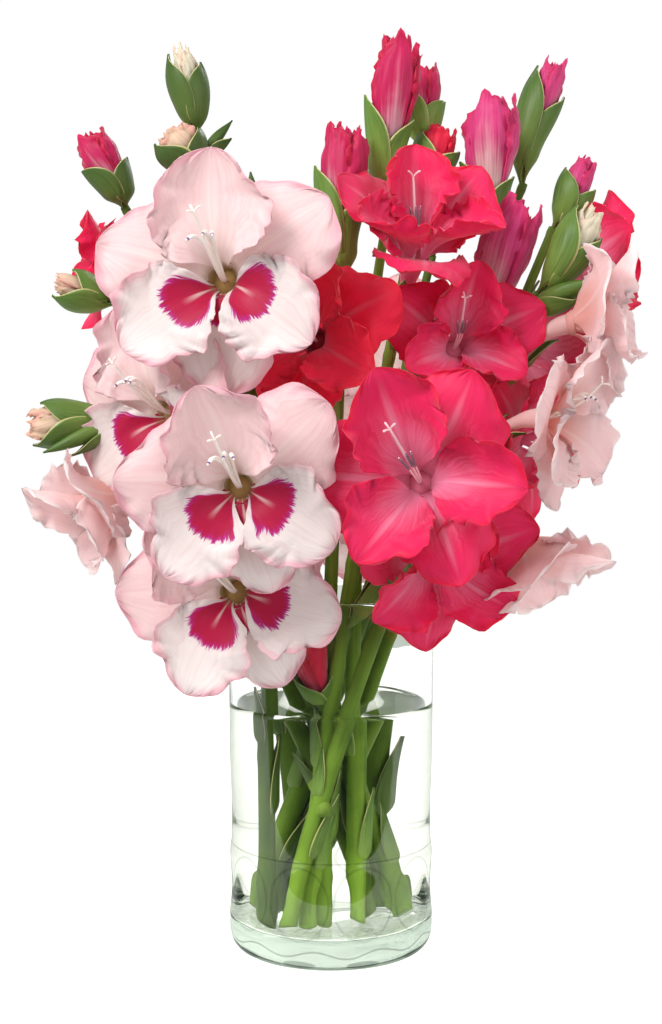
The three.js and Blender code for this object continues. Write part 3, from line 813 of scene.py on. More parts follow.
@dataclass(frozen=True)
class Petal:
    """One of a floret's six petals.

    Attributes:
        turn: where it sits round the face, in degrees.
        length: from its root to its tip.
        width: at its widest.
        flare: how far its tip opens from the axis, in degrees.
        curl: how much its tip curls back.
        dish: how much it is dished across.
        whorl: +1 for the front whorl, -1 for the back one.
        blotch: how far along its blotch reaches in a pale bloom.
    """

    turn: float
    length: float
    width: float
    flare: float
    curl: float
    dish: float
    whorl: int
    blotch: float = 0.0

    root_radius = 5.3  # how far off the axis it springs
    root_depth = -16.6  # and how far behind the face
    root_half_width = 2.5
    root_angle = 24.0  # how far it leans out there, in degrees
    widest = 0.64  # share of its length
    waves = 4  # broad waves round its margin
    frills = 23  # crimps round it, and finer ones over them
    crimps = 37
    furl = 1.0  # how much more one edge stands forward than the other

    def surface(self, s: Array, t: Array, opening: float, seed: float, habit: Habit) -> Array:
        """The petal's middle surface in the floret's own frame. A cubic curve runs from the root outwards
        in the plane of the axis; the petal spreads from it round the axis by its width over the radius,
        and stands off it by its whorl, its waved and crimped margin, its dish, its crease and its furl.

        Args:
            s: shares of the length.
            t: places across, from -1 to 1.
            opening: how far the floret is open, from 0 to 1.
            seed: the floret's own seed.
            habit: how the petal is cut, folded and waved.

        Returns:
            The grid of places.
        """
        opened = 0.2 + 0.8 * opening
        sway = habit.sway * (drawn(seed, self.turn + 11) - 0.5)
        flare = math.radians(self.flare * opened + sway)
        start = math.radians(self.root_angle * (0.4 + 0.6 * opening))
        curl = math.radians(self.flare * opened + self.curl * opening + 8)
        length = self.length * (1 + 0.08 * (drawn(seed, self.turn) - 0.5))
        handle = 0.36 * length
        root = np.array([self.root_radius, self.root_depth])

        def toward(angle: float, reach: float) -> Array:
            """A step of that reach at an angle from the axis."""
            return np.array([math.sin(angle), math.cos(angle)]) * reach

        end = root + toward(flare, length)
        line = Bezier(np.array([root, root + toward(start, handle), end - toward(curl, handle), end]))
        phase = TURN * drawn(seed, self.turn + 7)
        fall = np.clip((s - self.widest) / (1 - self.widest), 0, 1)
        around = np.arctan2(t, (s - self.widest) / (1 - self.widest))
        margin = np.minimum(1, np.abs(t) ** 2.0 * smooth(s / 0.5) + 0.8 * fall**3)
        rim = np.minimum(1, np.abs(t) ** 3.5 * smooth((s - 0.15) / 0.5) + 0.7 * fall**4)
        scallop = 0.9 * np.sin(5 * around + 5 * phase) + np.sin(9 * around + 3 * phase)
        scallop = scallop + 0.6 * np.sin(21 * around + phase)
        tip = np.clip(1 - fall ** (2.4 - 0.8 * habit.point), 0.004, 1) ** (0.5 + 0.3 * habit.point)
        calm = 0.02 + 0.98 * smooth(tip / 0.9)
        middle, slope = line.at(s * (1 + 0.036 * scallop * rim * calm)), line.heading(s)
        notch = 1 + 0.055 * scallop * smooth(s / 0.4) * calm
        broad = self.width / 2 * habit.spread
        half = lerp(self.root_half_width, broad, smooth(s / self.widest)) * tip * notch
        spread = t * np.minimum(half / middle[..., 0], 1.75)
        angle = math.radians(self.turn) + np.radians(2 * sway) * s + spread
        wave = 0.5 + 0.5 * np.sin(self.waves * around + phase + 0.8 * np.sin(2 * around + phase))
        swell = 0.6 + 0.4 * np.sin(5 * around + phase)
        fine = swell * np.sin(self.frills * around + 3 * phase + 1.3 * np.sin(3 * around))
        fine = fine + 0.4 * np.sin(self.crimps * around + 2 * phase + np.sin(9 * around))
        front = self.whorl > 0
        lift = (
            self.whorl * (0.2 + 1.7 * smooth(s / 0.4) + habit.ruffle * margin * wave * calm)
            + habit.crimp * rim * (fine if front else 0.7 * (fine - 0.8)) * calm
            + (self.dish + (habit.cup if front else 0)) * (self.width / 2) * t * t * smooth(s) * calm
            + habit.fold * max(0.25, self.whorl) * (np.sqrt(t * t + 0.01) - 0.1) * smooth(s / 0.35) * calm
            + self.furl * t * smooth(s / 0.4) * calm
            + 0.3 * np.exp(-((t / 0.07) ** 2)) * smooth(s / 0.2) * (1 - smooth((s - 0.6) / 0.4))
        )
        radius = middle[..., 0] - slope[..., 1] * lift
        depth = middle[..., 1] + slope[..., 0] * lift
        return np.stack([radius * np.sin(angle), radius * np.cos(angle), depth], -1)


PETALS = (
    Petal(0, 60, 58, 60, -8, 0.12, 1),
    Petal(63, 59, 54, 77, 6, -0.06, -1),
    Petal(-63, 59, 54, 77, 6, -0.06, -1),
    Petal(122, 52, 44, 73, 12, 0.02, 1, 1.0),
    Petal(-122, 52, 44, 73, 12, 0.02, 1, 1.0),
    Petal(180, 52, 46, 82, 14, -0.05, -1, 0.74),
)


@dataclass(frozen=True)
class Floret:
    """An open or half-open floret: its tube, its throat, its six petals and its stamens.

    Attributes:
        name: its number on the spike.
        at: share of the stem where it leaves.
        face: the middle of its face.
        look: where it looks, in degrees to the right of the front and up.
        roll: how it is turned in its own plane, in degrees.
        size: its size against the full one.
        opening: how far it is open.
        tint: its colour.
        stamens: whether its stamens are a piece of their own.
        rows: rows of its petals' grids.
    """

    name: str
    at: float
    face: Place
    look: tuple[float, float]
    roll: float
    size: float
    opening: float
    tint: Tint
    stamens: bool = False
    rows: int = 26

    floor = -15.5  # how far the throat's floor lies behind the face
    tube = 2.6  # the tube's radius at its start, before it widens, and at the throat
    neck = 4.0
    mouth = 6.2
    cup_radii = (6.0, 8.2)  # the throat's green cup, from its floor outwards
    cup_depths = (-16.4, -11.8)
    anthers = ((-7.0, 20.0, 13.0), (-0.5, 21.5, 13.0), (3.5, 20.0, 14.0))
    stigma = (-2.0, 26.0, 19.0)

    def placed(self, points: Array) -> Array:
        """Points of the floret's own frame, X to its right, Y to its upper petal and Z out of its face, in
        the frame of the bunch."""
        out = self.out
        up = unit(UP - out * out[2])
        roll = math.radians(self.roll)
        up = up * math.cos(roll) + np.cross(out, up) * math.sin(roll)
        right = np.cross(up, out)
        return np.array(self.face) + self.size * (points @ np.stack([right, up, out]))

    @property
    def out(self) -> Array:
        """The direction that the face looks in."""
        azimuth, elevation = map(math.radians, self.look)
        level = math.cos(elevation)
        return np.array([math.sin(azimuth) * level, -math.cos(azimuth) * level, math.sin(elevation)])

    def tube_radius(self, share: Number) -> Array:
        """The radius of its tube, which widens into the throat."""
        flare = (self.mouth - self.neck) * smooth((np.asarray(share) - 0.7) / 0.3)
        return self.size * (lerp(self.tube, self.neck, np.asarray(share)) + flare)

    def fill(self, form: Form, line: Branch, seed: float) -> None:
        """Adds the tube and the six petals.

        Args:
            form: where they go.
            line: the tube's line.
            seed: the floret's own seed.
        """
        share, turn = wound(16, 24)
        share = lerp(TUBE_START, 1, 1 - (1 - share) ** 1.8)
        deep = 0.34 * (share < 1)
        form.tube(line.around(share, turn, self.tube_radius(share)), along=deep, across=0.5, shade=0.5)
        s, t = grid(6, 33)
        ring, turn = lerp(*self.cup_radii, s), np.pi * t
        cup = np.stack([ring * np.sin(turn), ring * np.cos(turn), lerp(*self.cup_depths, s)], -1)
        below = (self.tint is Tint.PALE) * smooth(0.5 - 2 * np.cos(turn))
        deep = 0.02 + (0.1 + 0.1 * below) * s
        form.sheet(self.placed(cup), 0.35, along=deep, across=0.3, shade=0.5, mark=below)
        for k, petal in enumerate(PETALS):
            s, t = grid(self.rows, self.rows - 6)
            s, t = 1 - (1 - s) ** 1.3, lerp(t, np.sin(t * np.pi / 2), 0.6)
            middle = self.placed(petal.surface(s, t, self.opening, seed, self.habit))
            thin = 0.3 + 0.45 * (1 - np.abs(t) ** 2) * (1 - s**3)
            lower = petal.blotch if self.tint is Tint.PALE else 0.0
            form.sheet(middle, thin * self.size, along=s, across=t, shade=drawn(seed, k + 20), mark=lower)

    @property
    def habit(self) -> Habit:
        """How its petals are cut: broad in the pale blooms, pointed in the others."""
        return BROAD if self.tint in (Tint.PALE, Tint.SALMON) else POINTED

    def fill_stamens(self, form: Form, seed: float, finish: int) -> None:
        """Adds three arched filaments with their long anthers, and the style with its three lobes. In the
        pale blooms the anthers hang from the arch; in the others they stand low in the throat.

        Args:
            form: where they go.
            seed: the floret's own seed.
            finish: the number of their finish.
        """
        reach = 0.6 + 0.4 * self.opening
        hanging = self.habit is BROAD
        for k, (x, y, z) in enumerate((*self.anthers, self.stigma)):
            style = k == len(self.anthers)
            low = 1.0 if style or hanging else 0.66
            x, y, z = x * reach * low, y * reach * low, (z + 6 * (1 - self.opening)) * low
            way = 0.0 if style else k - 1
            third, fourth = (0.4 * x, 0.45 * y, 8 * low), (x, y, z)
            if hanging and not style:
                third, fourth = (0.3 * x, 1.25 * y, 5), (1.25 * x, 0.74 * y, z + 1)
            points = [(0.5 * way, 0.3, self.floor), (1.5 * way, 1.5, -4), third, fourth]
            line = Branch(Bezier(self.placed(np.array(points))), unit(np.array([1.0, 0.2, 0.1])))
            share, turn = wound(26, 8)
            head = smooth((share - 0.6) / 0.05) * (1 - smooth((share - 0.93) / 0.07))
            thread = lerp(0.95, 0.5, share) if hanging or style else lerp(0.7, 0.32, share)
            thick = thread + (0.15 if style else 0.55 if hanging else 0.24) * head
            mark = head * (0.12 if style else 1.0)
            rings = line.around(share, turn, thick * self.size)
            form.tube(rings, finish, along=share, mark=mark, shade=drawn(seed, k))
            if style:
                self.fill_lobes(form, line, finish)

    def fill_lobes(self, form: Form, style: Branch, finish: int) -> None:
        """Adds the style's three lobes, each a short arm that widens to its end.

        Args:
            form: where they go.
            style: the style's line.
            finish: the number of their finish.
        """
        place, along, across, away = style.frames(np.array(0.97))
        for turn in (0.4, 2.5, 4.6):
            side = across * math.cos(turn) + away * math.sin(turn)
            reach = 5.5 * self.size
            points = [place, place + along * reach * 0.4, place + (along * 0.6 + side * 0.3) * reach]
            points.append(place + (along * 0.75 + side * 0.75) * reach)
            arm = Branch(Bezier(np.array(points)), np.cross(along, side))
            share, angle = wound(10, 8)
            thick = lerp(0.35, 0.75, share**2) * (1 - 0.8 * smooth((share - 0.9) / 0.1))
            form.tube(arm.around(share, angle, thick * self.size), finish, mark=0.08, shade=0.3)


@dataclass(frozen=True)
class Spike:
    """One spike: its leaning stem, the bracts on it, its florets, its buds and its green tips.

    Attributes:
        letter: its letter.
        foot: where its cut end stands on the vase's floor.
        low: the first guide point of its curve.
        high: the second guide point.
        tip: its end.
        florets: its florets.
        buds: its buds.
        leaves: its closed green tips.
        bright: how bright its green is, from 0 to 1; partly its own colour, partly painted shade, lower
            further back.
        stubs: the cut stubs on its stem, each a share of the stem and a side in degrees.
    """

    letter: str
    foot: tuple[float, float]
    low: Place
    high: Place
    tip: Place
    florets: tuple[Floret, ...] = ()
    buds: tuple[Bud, ...] = ()
    leaves: tuple[Leaf, ...] = ()
    bright: float = 0.5
    stubs: tuple[tuple[float, float], ...] = ()

    vase_floor = 15.0
    clearance = 0.35  # between a cut end and the vase's floor
    foot_radius = 4.6
    tip_radius = 2.3
    bract_reach = 52.0  # the longest bract on a floret
    bract_base = 0.2  # how narrow a bract starts
    bract_thickness = 1.0
    bud_cover = 1.32  # how much longer the bracts on a bud are drawn than its plan says
    joints = ((0.06, 0.05), (0.2, 0.08), (0.34, 0.05))  # the bare joints: share of the stem, and its spread

    @property
    def curve(self) -> Bezier:
        """The line of the stem, its foot lifted by its lean so that its cut end clears the vase's floor."""
        foot = np.array([*self.foot, self.vase_floor])
        low = np.array(self.low, float)
        lean = np.linalg.norm((low - foot)[:2]) / np.linalg.norm(low - foot)
        foot[2] += self.clearance + self.foot_radius * lean
        return Bezier(np.array([foot, low, self.high, self.tip]))

    def radius_at(self, share: Number) -> Array:
        """The radius of the stem."""
        return lerp(self.foot_radius, self.tip_radius, np.asarray(share) ** 1.3)

    def branch(self, at: float, end: Array, arrival: Array) -> Branch:
        """The curved line from a place on the stem to a floret's throat or a bud's mouth.

        Args:
            at: share of the stem.
            end: where it ends.
            arrival: the direction in which it arrives.

        Returns:
            The line.
        """
        root = self.curve.at(at)
        upward = self.curve.heading(at)
        reach = end - root
        outward = unit(reach - upward * (reach @ upward))
        leaving = unit(upward * 0.75 + outward * 0.65)
        root = root + outward * 0.4 * self.radius_at(at)
        pull = 0.36 * np.linalg.norm(end - root)
        side = np.cross(leaving, arrival)
        if np.linalg.norm(side) < 0.1:
            side = np.cross(leaving, [1, 0.3, 0.1])
        return Branch(Bezier(np.array([root, root + leaving * pull, end - arrival * pull, end])), unit(side))

    def to_floret(self, floret: Floret) -> Branch:
        """The line of a floret's tube."""
        return self.branch(floret.at, floret.placed(np.array([0, 0, floret.floor])), floret.out)

    def to_tip(self, at: float, tip: Sequence[float]) -> Branch:
        """The line of a bud or a green tip."""
        end = np.array(tip, float)
        return self.branch(at, end, unit(end - self.curve.at(at)))

    def fill_stem(self, form: Form, seed: float) -> None:
        """Adds the stem: rings of its radius, slightly angular, with a swelling at each joint and a foot
        that is cut on a slant.

        Args:
            form: where it goes.
            seed: the spike's own seed.
        """
        share, turn = wound(110, 18)
        joints = [at + spread * drawn(seed, k) for k, (at, spread) in enumerate(self.joints, 1)]
        joints += [grown.at - 0.006 for grown in (*self.florets, *self.buds)]
        swelling = sum(np.exp(-(((share - at) / 0.006) ** 2)) for at in joints)
        radius = self.radius_at(share) * (1 + 0.035 * np.cos(3 * turn + 5 * share + seed)) + 0.45 * swelling
        line = Branch(self.curve, BACK)
        rings = line.around(share, turn, radius)
        slant = 2.2 * (1 + np.cos(turn + 6 * drawn(seed, 4))) * np.clip(1 - share * 60, 0, 1)
        rings = rings + slant[..., None] * line.curve.heading(share)
        form.tube(rings, 0, along=share, across=1 + turn / np.pi, shade=drawn(seed, 5), mark=self.bright)
        for k, at in enumerate((0.07, 0.2)):
            start = at + 0.05 * drawn(seed, 6 + k)
            self.fill_bract(form, line, 1 - 2 * k, 46.0 - 8 * k, self.radius_at, seed + 3 * k, start, 0.3)
        for at, turn in self.stubs:
            self.fill_stub(form, line, at, turn)

    def fill_stub(self, form: Form, line: Branch, at: float, turn: float) -> None:
        """Adds the short cut stub of a side shoot.

        Args:
            form: where it goes.
            line: the stem's line.
            at: share of the stem.
            turn: the side that it stands on, in degrees.
        """
        place, along, across, away = line.frames(np.array(at))
        side = across * math.cos(math.radians(turn)) + away * math.sin(math.radians(turn))
        steps = np.array([0, 2.6, 5.2, 7.8])[:, None]
        arm = Branch(Bezier(place + steps * unit(side + 0.5 * along)), along)
        share, angle = wound(8, 14)
        rings = arm.around(share, angle, 3.0 + 0.9 * smooth(share))
        form.tube(rings, 0, along=share, across=1 + angle / np.pi, shade=0.4, mark=1.0)

    def fill_bract(
        self, form: Form, line: Branch, way: int, reach: float, hold: Radius, seed: float,
        start: float = 0.0, bulge: float = 1.0, wrap: float = 1.42, taper: float = 2.9,
    ) -> None:
        """Adds one clasping bract: a pointed sheet wrapped round the line at the radius of what it holds,
        keeled, ribbed along its length, and standing off at its point.

        Args:
            form: where it goes.
            line: the line that it clasps.
            way: +1 for the outer one and -1 for the inner one.
            reach: its length.
            hold: the radius of what it holds, by share of the line.
            seed: its own seed.
            start: share of the line where it begins.
            bulge: how far its belly stands off.
            wrap: how far it reaches round each way, in radians.
            taper: how late it narrows to its point.
        """
        s, t = grid(19, 13)
        s = lerp(-0.05, 1, s)
        size = 1.0 if way > 0 else 0.84
        share = min(0.95 - start, reach * size / line.curve.length)
        held = np.clip(s, 0, 1)
        at = start + held * share
        opening = smooth(s / 0.3)
        pointed = np.maximum(0.02, 1 - held**taper)
        wrap = wrap * pointed * lerp(0.5, 1, opening)
        clear = hold(at) + self.bract_thickness / 2 + 0.15
        keel = 0.6 * np.exp(-((t / 0.12) ** 2)) + 0.12 * np.cos(13 * t)
        radius = clear * lerp(self.bract_base, 1, opening) + 1.8 * held**3 + keel * opening
        radius = radius + bulge * np.sin(np.pi * held) + 0.4 * (way > 0)
        angle = way * np.pi / 2 + t * wrap + 0.15 * (drawn(seed, 4) - 0.5)
        behind = line.curve.heading(at) * ((s - held) * reach)[..., None]
        middle = line.around(at, angle, radius) + behind
        thin = 0.3 + 0.7 * (1 - t * t) * (1 - 0.6 * held**3)
        form.sheet(middle, thin, 1, along=held, across=t, shade=drawn(seed, 2 + way), mark=self.bright)

    def fill_neck(self, form: Form, line: Branch, reach: float, hold: Radius, seed: float) -> None:
        """Adds the green cup that closes the foot of a pair of bracts, just inside them: rings at the radius
        of what they hold, narrowed towards the stem as the bracts are.

        Args:
            form: where it goes.
            line: the line that they clasp.
            reach: their length.
            hold: the radius of what they hold, by share of the line.
            seed: their own seed.
        """
        share, turn = wound(10, 14)
        s = lerp(-0.05, 0.3, share)
        held = np.maximum(0, s)
        at = held * min(0.95, reach / line.curve.length)
        radius = hold(at) * lerp(self.bract_base, 1, smooth(s / 0.3))
        behind = line.curve.heading(at) * ((s - held) * reach)[..., None]
        rings = line.around(at, turn, radius) + behind
        across = 0.8 * (1 + turn / np.pi)
        form.tube(rings, 1, along=held, across=across, shade=drawn(seed, 3), mark=self.bright)

    def fill_leaf(self, form: Form, leaf: Leaf, seed: float) -> None:
        """Adds a closed green tip: a spindle clasped by one bract.

        Args:
            form: where it goes.
            leaf: the tip.
            seed: its own seed.
        """
        line = self.to_tip(leaf.at, leaf.tip)
        share, turn = wound(26, 16)
        keel = 1 + 0.14 * np.cos(2 * turn) + 0.03 * np.cos(8 * turn)
        across = 0.8 * (1 + turn / np.pi)
        rings = line.around(share, turn, leaf.radius_at(share) * keel)
        form.tube(rings, 1, along=share, across=across, shade=drawn(seed, 8), mark=self.bright)
        self.fill_bract(form, line, 1, 0.72 * line.curve.length, leaf.radius_at, seed)

    def build_green(self, palette: Palette, seed: float) -> None:
        """Makes the green piece: the stem, its bracts and its closed tips."""
        form = Form()
        self.fill_stem(form, seed)
        for k, floret in enumerate(self.florets):
            line = self.to_floret(floret)
            reach = min(self.bract_reach, 0.86 * line.curve.length)
            for way in (1, -1):
                self.fill_bract(form, line, way, reach, floret.tube_radius, seed + k, bulge=1.8)
        for k, bud in enumerate(self.buds):
            line = Branch(self.to_tip(bud.at, bud.tip).curve, -BACK)
            reach, own = self.bud_cover * bud.bract, seed + 5 + k
            bulge = 1.2 + 0.5 * max(0.0, 10.5 - bud.radius)
            for way in (1, -1):
                self.fill_bract(form, line, way, reach, bud.held_radius, own, 0.0, bulge, 1.9, 4.2)
            self.fill_neck(form, line, reach, bud.held_radius, own)
        for k, leaf in enumerate(self.leaves):
            self.fill_leaf(form, leaf, seed + 9 + k)
        form.piece(f"stalk_{self.letter}", f"spike_{self.letter}", [palette.stem, palette.bract])

    def build(self, palette: Palette, row: int) -> None:
        """Makes every piece of the spike.

        Args:
            palette: the shared finishes.
            row: its place among the spikes, which seeds its pieces.
        """
        self.build_green(palette, row)
        for bud in self.buds:
            form = Form()
            bud.fill(form, self.to_tip(bud.at, bud.tip), row * 10 + int(bud.name))
            name = f"{self.letter}{bud.name}"
            form.piece(f"furled_{name}", f"bud_{name}", [palette.petals[bud.tint]])
        for floret in self.florets:
            seed = row * 10 + int(floret.name)
            name = f"{self.letter}{floret.name}"
            form = Form()
            floret.fill(form, self.to_floret(floret), seed)
            if not floret.stamens:
                floret.fill_stamens(form, seed, 1)
            threads = palette.stamens(floret.tint)
            form.piece(f"bloom_{name}", f"floret_{name}", [palette.petals[floret.tint], threads])
            if floret.stamens:
                own = Form()
                floret.fill_stamens(own, seed, 0)
                own.piece(f"threads_{name}", f"stamens_{name}", [threads])


@dataclass(frozen=True)
class Vase:
    """The clear cylinder vase, its heavy base ringed with pressed lens marks.

    Attributes are its sizes, as the frame's own vase has them.
    """

    height: float = 190.0
    radius: float = 55.0
    waist: float = 53.8
    waist_height: float = 70.0
    foot: float = 50.0
    foot_rise: float = 10.0
    floor: float = 15.0
    floor_rise: float = 8.0
    wall: float = 4.4
    rim_wall: float = 3.2
    lens_low: float = 16.0
    lens_high: float = 54.0
    lens_depth: float = 1.6
    lenses: int = 10
    sides: int = 180
    water_level: float = 130.0
    water_sides: int = 120
    meniscus: float = 1.6

    @property
    def inner_foot(self) -> float:
        """The inner radius just above the floor's rounding."""
        return self.radius - self.wall - 0.4

    def inner(self, height: Number) -> Array:
        """The inner radius at a height: a straight taper between the floor and the rim."""
        share = (np.asarray(height) - self.floor) / (self.height - self.floor)
        return lerp(self.inner_foot, self.radius - self.rim_wall, share)

    def outline(self) -> tuple[Array, Array]:
        """The outline from the middle of the foot round the rim to the middle of the floor: flats, quarter
        ellipses at the foot and the floor, a slight waist, and a half circle at the rim.

        Returns:
            The radii and the heights.
        """
        arc = np.linspace(0, np.pi / 2, 10)
        rise = np.linspace(self.foot_rise, self.height - self.rim_wall / 2, 90)[1:]
        dip = (self.radius - self.waist) * np.exp(-(((rise - self.waist_height) / 26) ** 2))
        dip = dip * smooth((rise - self.lens_high + 6) / 10)
        round_rim = np.linspace(0, np.pi, 11)[1:-1]
        rim_half = self.rim_wall / 2
        fall = np.linspace(self.height - rim_half, self.floor + self.floor_rise, 40)
        rounding = self.inner_foot - (self.radius - self.wall - 5)
        radii = [
            np.linspace(0, self.foot, 14),
            self.foot + (self.radius - self.foot) * np.sin(arc[1:]),
            self.radius - dip,
            self.radius - rim_half + rim_half * np.cos(round_rim),
            self.inner(fall),
            self.inner_foot - rounding + rounding * np.cos(arc[1:]),
            np.linspace(self.inner_foot - rounding, 0, 14)[1:],
        ]
        heights = [
            np.zeros(14),
            self.foot_rise * (1 - np.cos(arc[1:])),
            rise,
            self.height - rim_half + rim_half * np.sin(round_rim),
            fall,
            self.floor + self.floor_rise * (1 - np.sin(arc[1:])),
            np.full(13, self.floor),
        ]
        return np.concatenate(radii), np.concatenate(heights)

    def build(self, palette: Palette) -> None:
        """Makes the vase: its outline turned about the axis, pressed in by a round dish at each lens mark,
        one less the square of the distance from the mark's middle."""
        radii, heights = self.outline()
        turn = np.linspace(0, TURN, self.sides, endpoint=False)
        radius, angle = np.meshgrid(radii[1:-1], turn, indexing="ij")
        height = np.broadcast_to(heights[1:-1, None], radius.shape)
        outside = np.arange(len(radii) - 2) < int(np.argmax(heights))
        step = TURN / self.lenses
        offset = (angle + step / 2) % step - step / 2
        half_height = (self.lens_high - self.lens_low) / 2
        across = offset * self.radius / (0.46 * step * self.radius)
        up = (height - self.lens_low - half_height) / half_height
        dish = np.clip(1 - across**2 - up**2, 0, 1) ** 2 * outside[:, None] * (radius > self.foot)
        radius = radius - self.lens_depth * dish
        form = Form()
        rings = np.stack([radius * np.cos(angle), radius * np.sin(angle), height], -1)
        form.tube(rings, mark=np.broadcast_to(1.0 * outside[:, None], radius.shape))
        form.piece("vase_glass", "vase", [palette.glass])

    def build_water(self, palette: Palette) -> None:
        """Makes the water: it fills the inside to its level, wets the glass, and climbs it in a meniscus that
        fades with the distance from the wall."""
        rise = np.linspace(self.floor + self.floor_rise, self.water_level + self.meniscus, 40)
        arc = np.linspace(0, np.pi / 2, 9)
        rounding = 5.0
        inside = 0.15  # how far it reaches into the glass
        radii = [
            np.linspace(0, self.inner_foot - rounding, 10)[1:],
            self.inner_foot - rounding + (rounding + inside) * np.sin(arc[1:]),
            self.inner(rise[1:]) + inside,
        ]
        top = np.linspace(self.inner(self.water_level) + inside, 0, 60)[1:-1]
        climb = self.meniscus * np.exp(-(top[0] - top) / self.meniscus)
        heights = [
            np.full(9, self.floor - inside),
            self.floor - inside + self.floor_rise * (1 - np.cos(arc[1:])),
            rise[1:],
        ]
        turn = np.linspace(0, TURN, self.water_sides, endpoint=False)
        radius, angle = np.meshgrid(np.concatenate([*radii, top]), turn, indexing="ij")
        height = np.broadcast_to(np.concatenate([*heights, self.water_level + climb])[:, None], radius.shape)
        form = Form()
        form.tube(np.stack([radius * np.cos(angle), radius * np.sin(angle), height], -1))
        form.piece("vase_water", "water", [palette.water])


@dataclass(frozen=True)
class Studio:
    """The plain pale floor, the soft lights and the camera at the photograph's angle.

    Attributes:
        eye: where the camera stands, in metres.
        tilt: how far it looks down, in degrees.
        lens: its focal length, in millimetres, for a picture 36 mm high.
        diffuse: how strongly the surroundings light the bunch.
        mirrored: how strongly they are mirrored where they aren't behind it.
        seen: colour of the surroundings and the floor, where bent and mirrored rays reach them.
        dim: their colour towards the sides and the top.
    """

    eye: Place = (0.0, -0.843, 0.2849)
    tilt: float = 3.5
    lens: float = 55.3
    diffuse: float = 0.7
    mirrored: float = 0.08
    seen: Colour = (0.7, 0.74, 0.68, 1.0)
    dim: Colour = (0.36, 0.42, 0.37, 1.0)

    def build(self) -> None:
        """Makes the camera, the floor, the sky and the lamps."""
        self.camera()
        self.floor()
        self.sky()
        self.lamp("key", (-0.95, -0.95, 1.35), (0, 0, 0.28), 0.7, 27.0)
        self.lamp("fill", (1.2, -0.8, 0.7), (0, 0, 0.28), 1.0, 6.5)
        self.lamp("back", (0.3, 1.1, 1.2), (0, 0, 0.3), 1.0, 12.0)

    def camera(self) -> None:
        """Stands the camera where the photograph was taken from."""
        data = bpy.data.cameras.new("camera")
        data.lens = self.lens
        data.sensor_fit = "VERTICAL"
        data.sensor_height = 36.0
        data.clip_start = 0.01
        made = stand("camera", data)
        made.location = self.eye
        made.rotation_euler = (math.radians(90 - self.tilt), 0, 0)
        bpy.context.scene.camera = made

    def floor(self) -> None:
        """Lays the floor. It ends just out of the picture, so that the vase's front mirrors none of it."""
        reach, front = 1.0, -0.15
        mesh = bpy.data.meshes.new("floor")
        corners = [(-reach, front, 0), (reach, front, 0), (reach, reach, 0), (-reach, reach, 0)]
        mesh.from_pydata(corners, [], [(0, 1, 2, 3)])
        use = Shading("floor_white")
        inputs = {
            "Base Color": (0.82, 0.82, 0.82, 1),
            "Roughness": 0.8,
            "Emission Color": use.mix(use.ray("Is Camera Ray"), self.seen, WHITE),
            "Emission Strength": 0.62,
        }
        mesh.materials.append(use.finish(use.principled(inputs)))
        made = stand("floor", mesh)
        made.visible_glossy = False  # so that the glass doesn't mirror the bright floor

    def sky(self) -> None:
        """Surrounds the scene with white: full for what is seen, softer where it lights or is mirrored, and
        greyer towards the sides and the top, which only bent and mirrored rays reach."""
        world = bpy.data.worlds.new("studio")
        bpy.context.scene.world = world
        use = Shading("studio", world)
        x, y, z = use.axes(use.node("ShaderNodeTexCoord", {}, {}, "Generated"))
        edge = use.math("MAXIMUM", x.size().step(0.28, 0.8), z.step(0.55, 0.95))
        lit, seen = use.ray("Is Diffuse Ray"), use.ray("Is Camera Ray")
        bent = 1.0 - lit - seen
        mirrored = bent * use.math("MINIMUM", use.ray("Glossy Depth"), 1.0)
        aside = 1.0 - y.step(-0.2, 0.7)
        strength = 1.0 - lit * (1.0 - self.diffuse) - mirrored * (1.0 - self.mirrored) * aside
        tone = use.mix(bent, WHITE, use.mix(edge, self.seen, self.dim))
        surface = use.node("ShaderNodeBackground", {}, {"Color": tone, "Strength": strength})
        use.finish(surface, output="ShaderNodeOutputWorld")
        bpy.context.scene.view_settings.view_transform = "Standard"

    def lamp(self, name: str, place: Place, target: Place, size: float, power: float) -> None:
        """Hangs a square soft light.

        Args:
            name: its name.
            place: where it hangs, in metres.
            target: what it faces.
            size: its side.
            power: its power, in watts.
        """
        data = bpy.data.lights.new(name, "AREA")
        data.size = size
        data.energy = power
        made = stand(name, data)
        made.location = place
        away = np.array(place) - np.array(target)
        pitch = math.atan2(math.hypot(away[0], away[1]), away[2])
        made.rotation_euler = (pitch, 0, math.atan2(away[0], -away[1]))


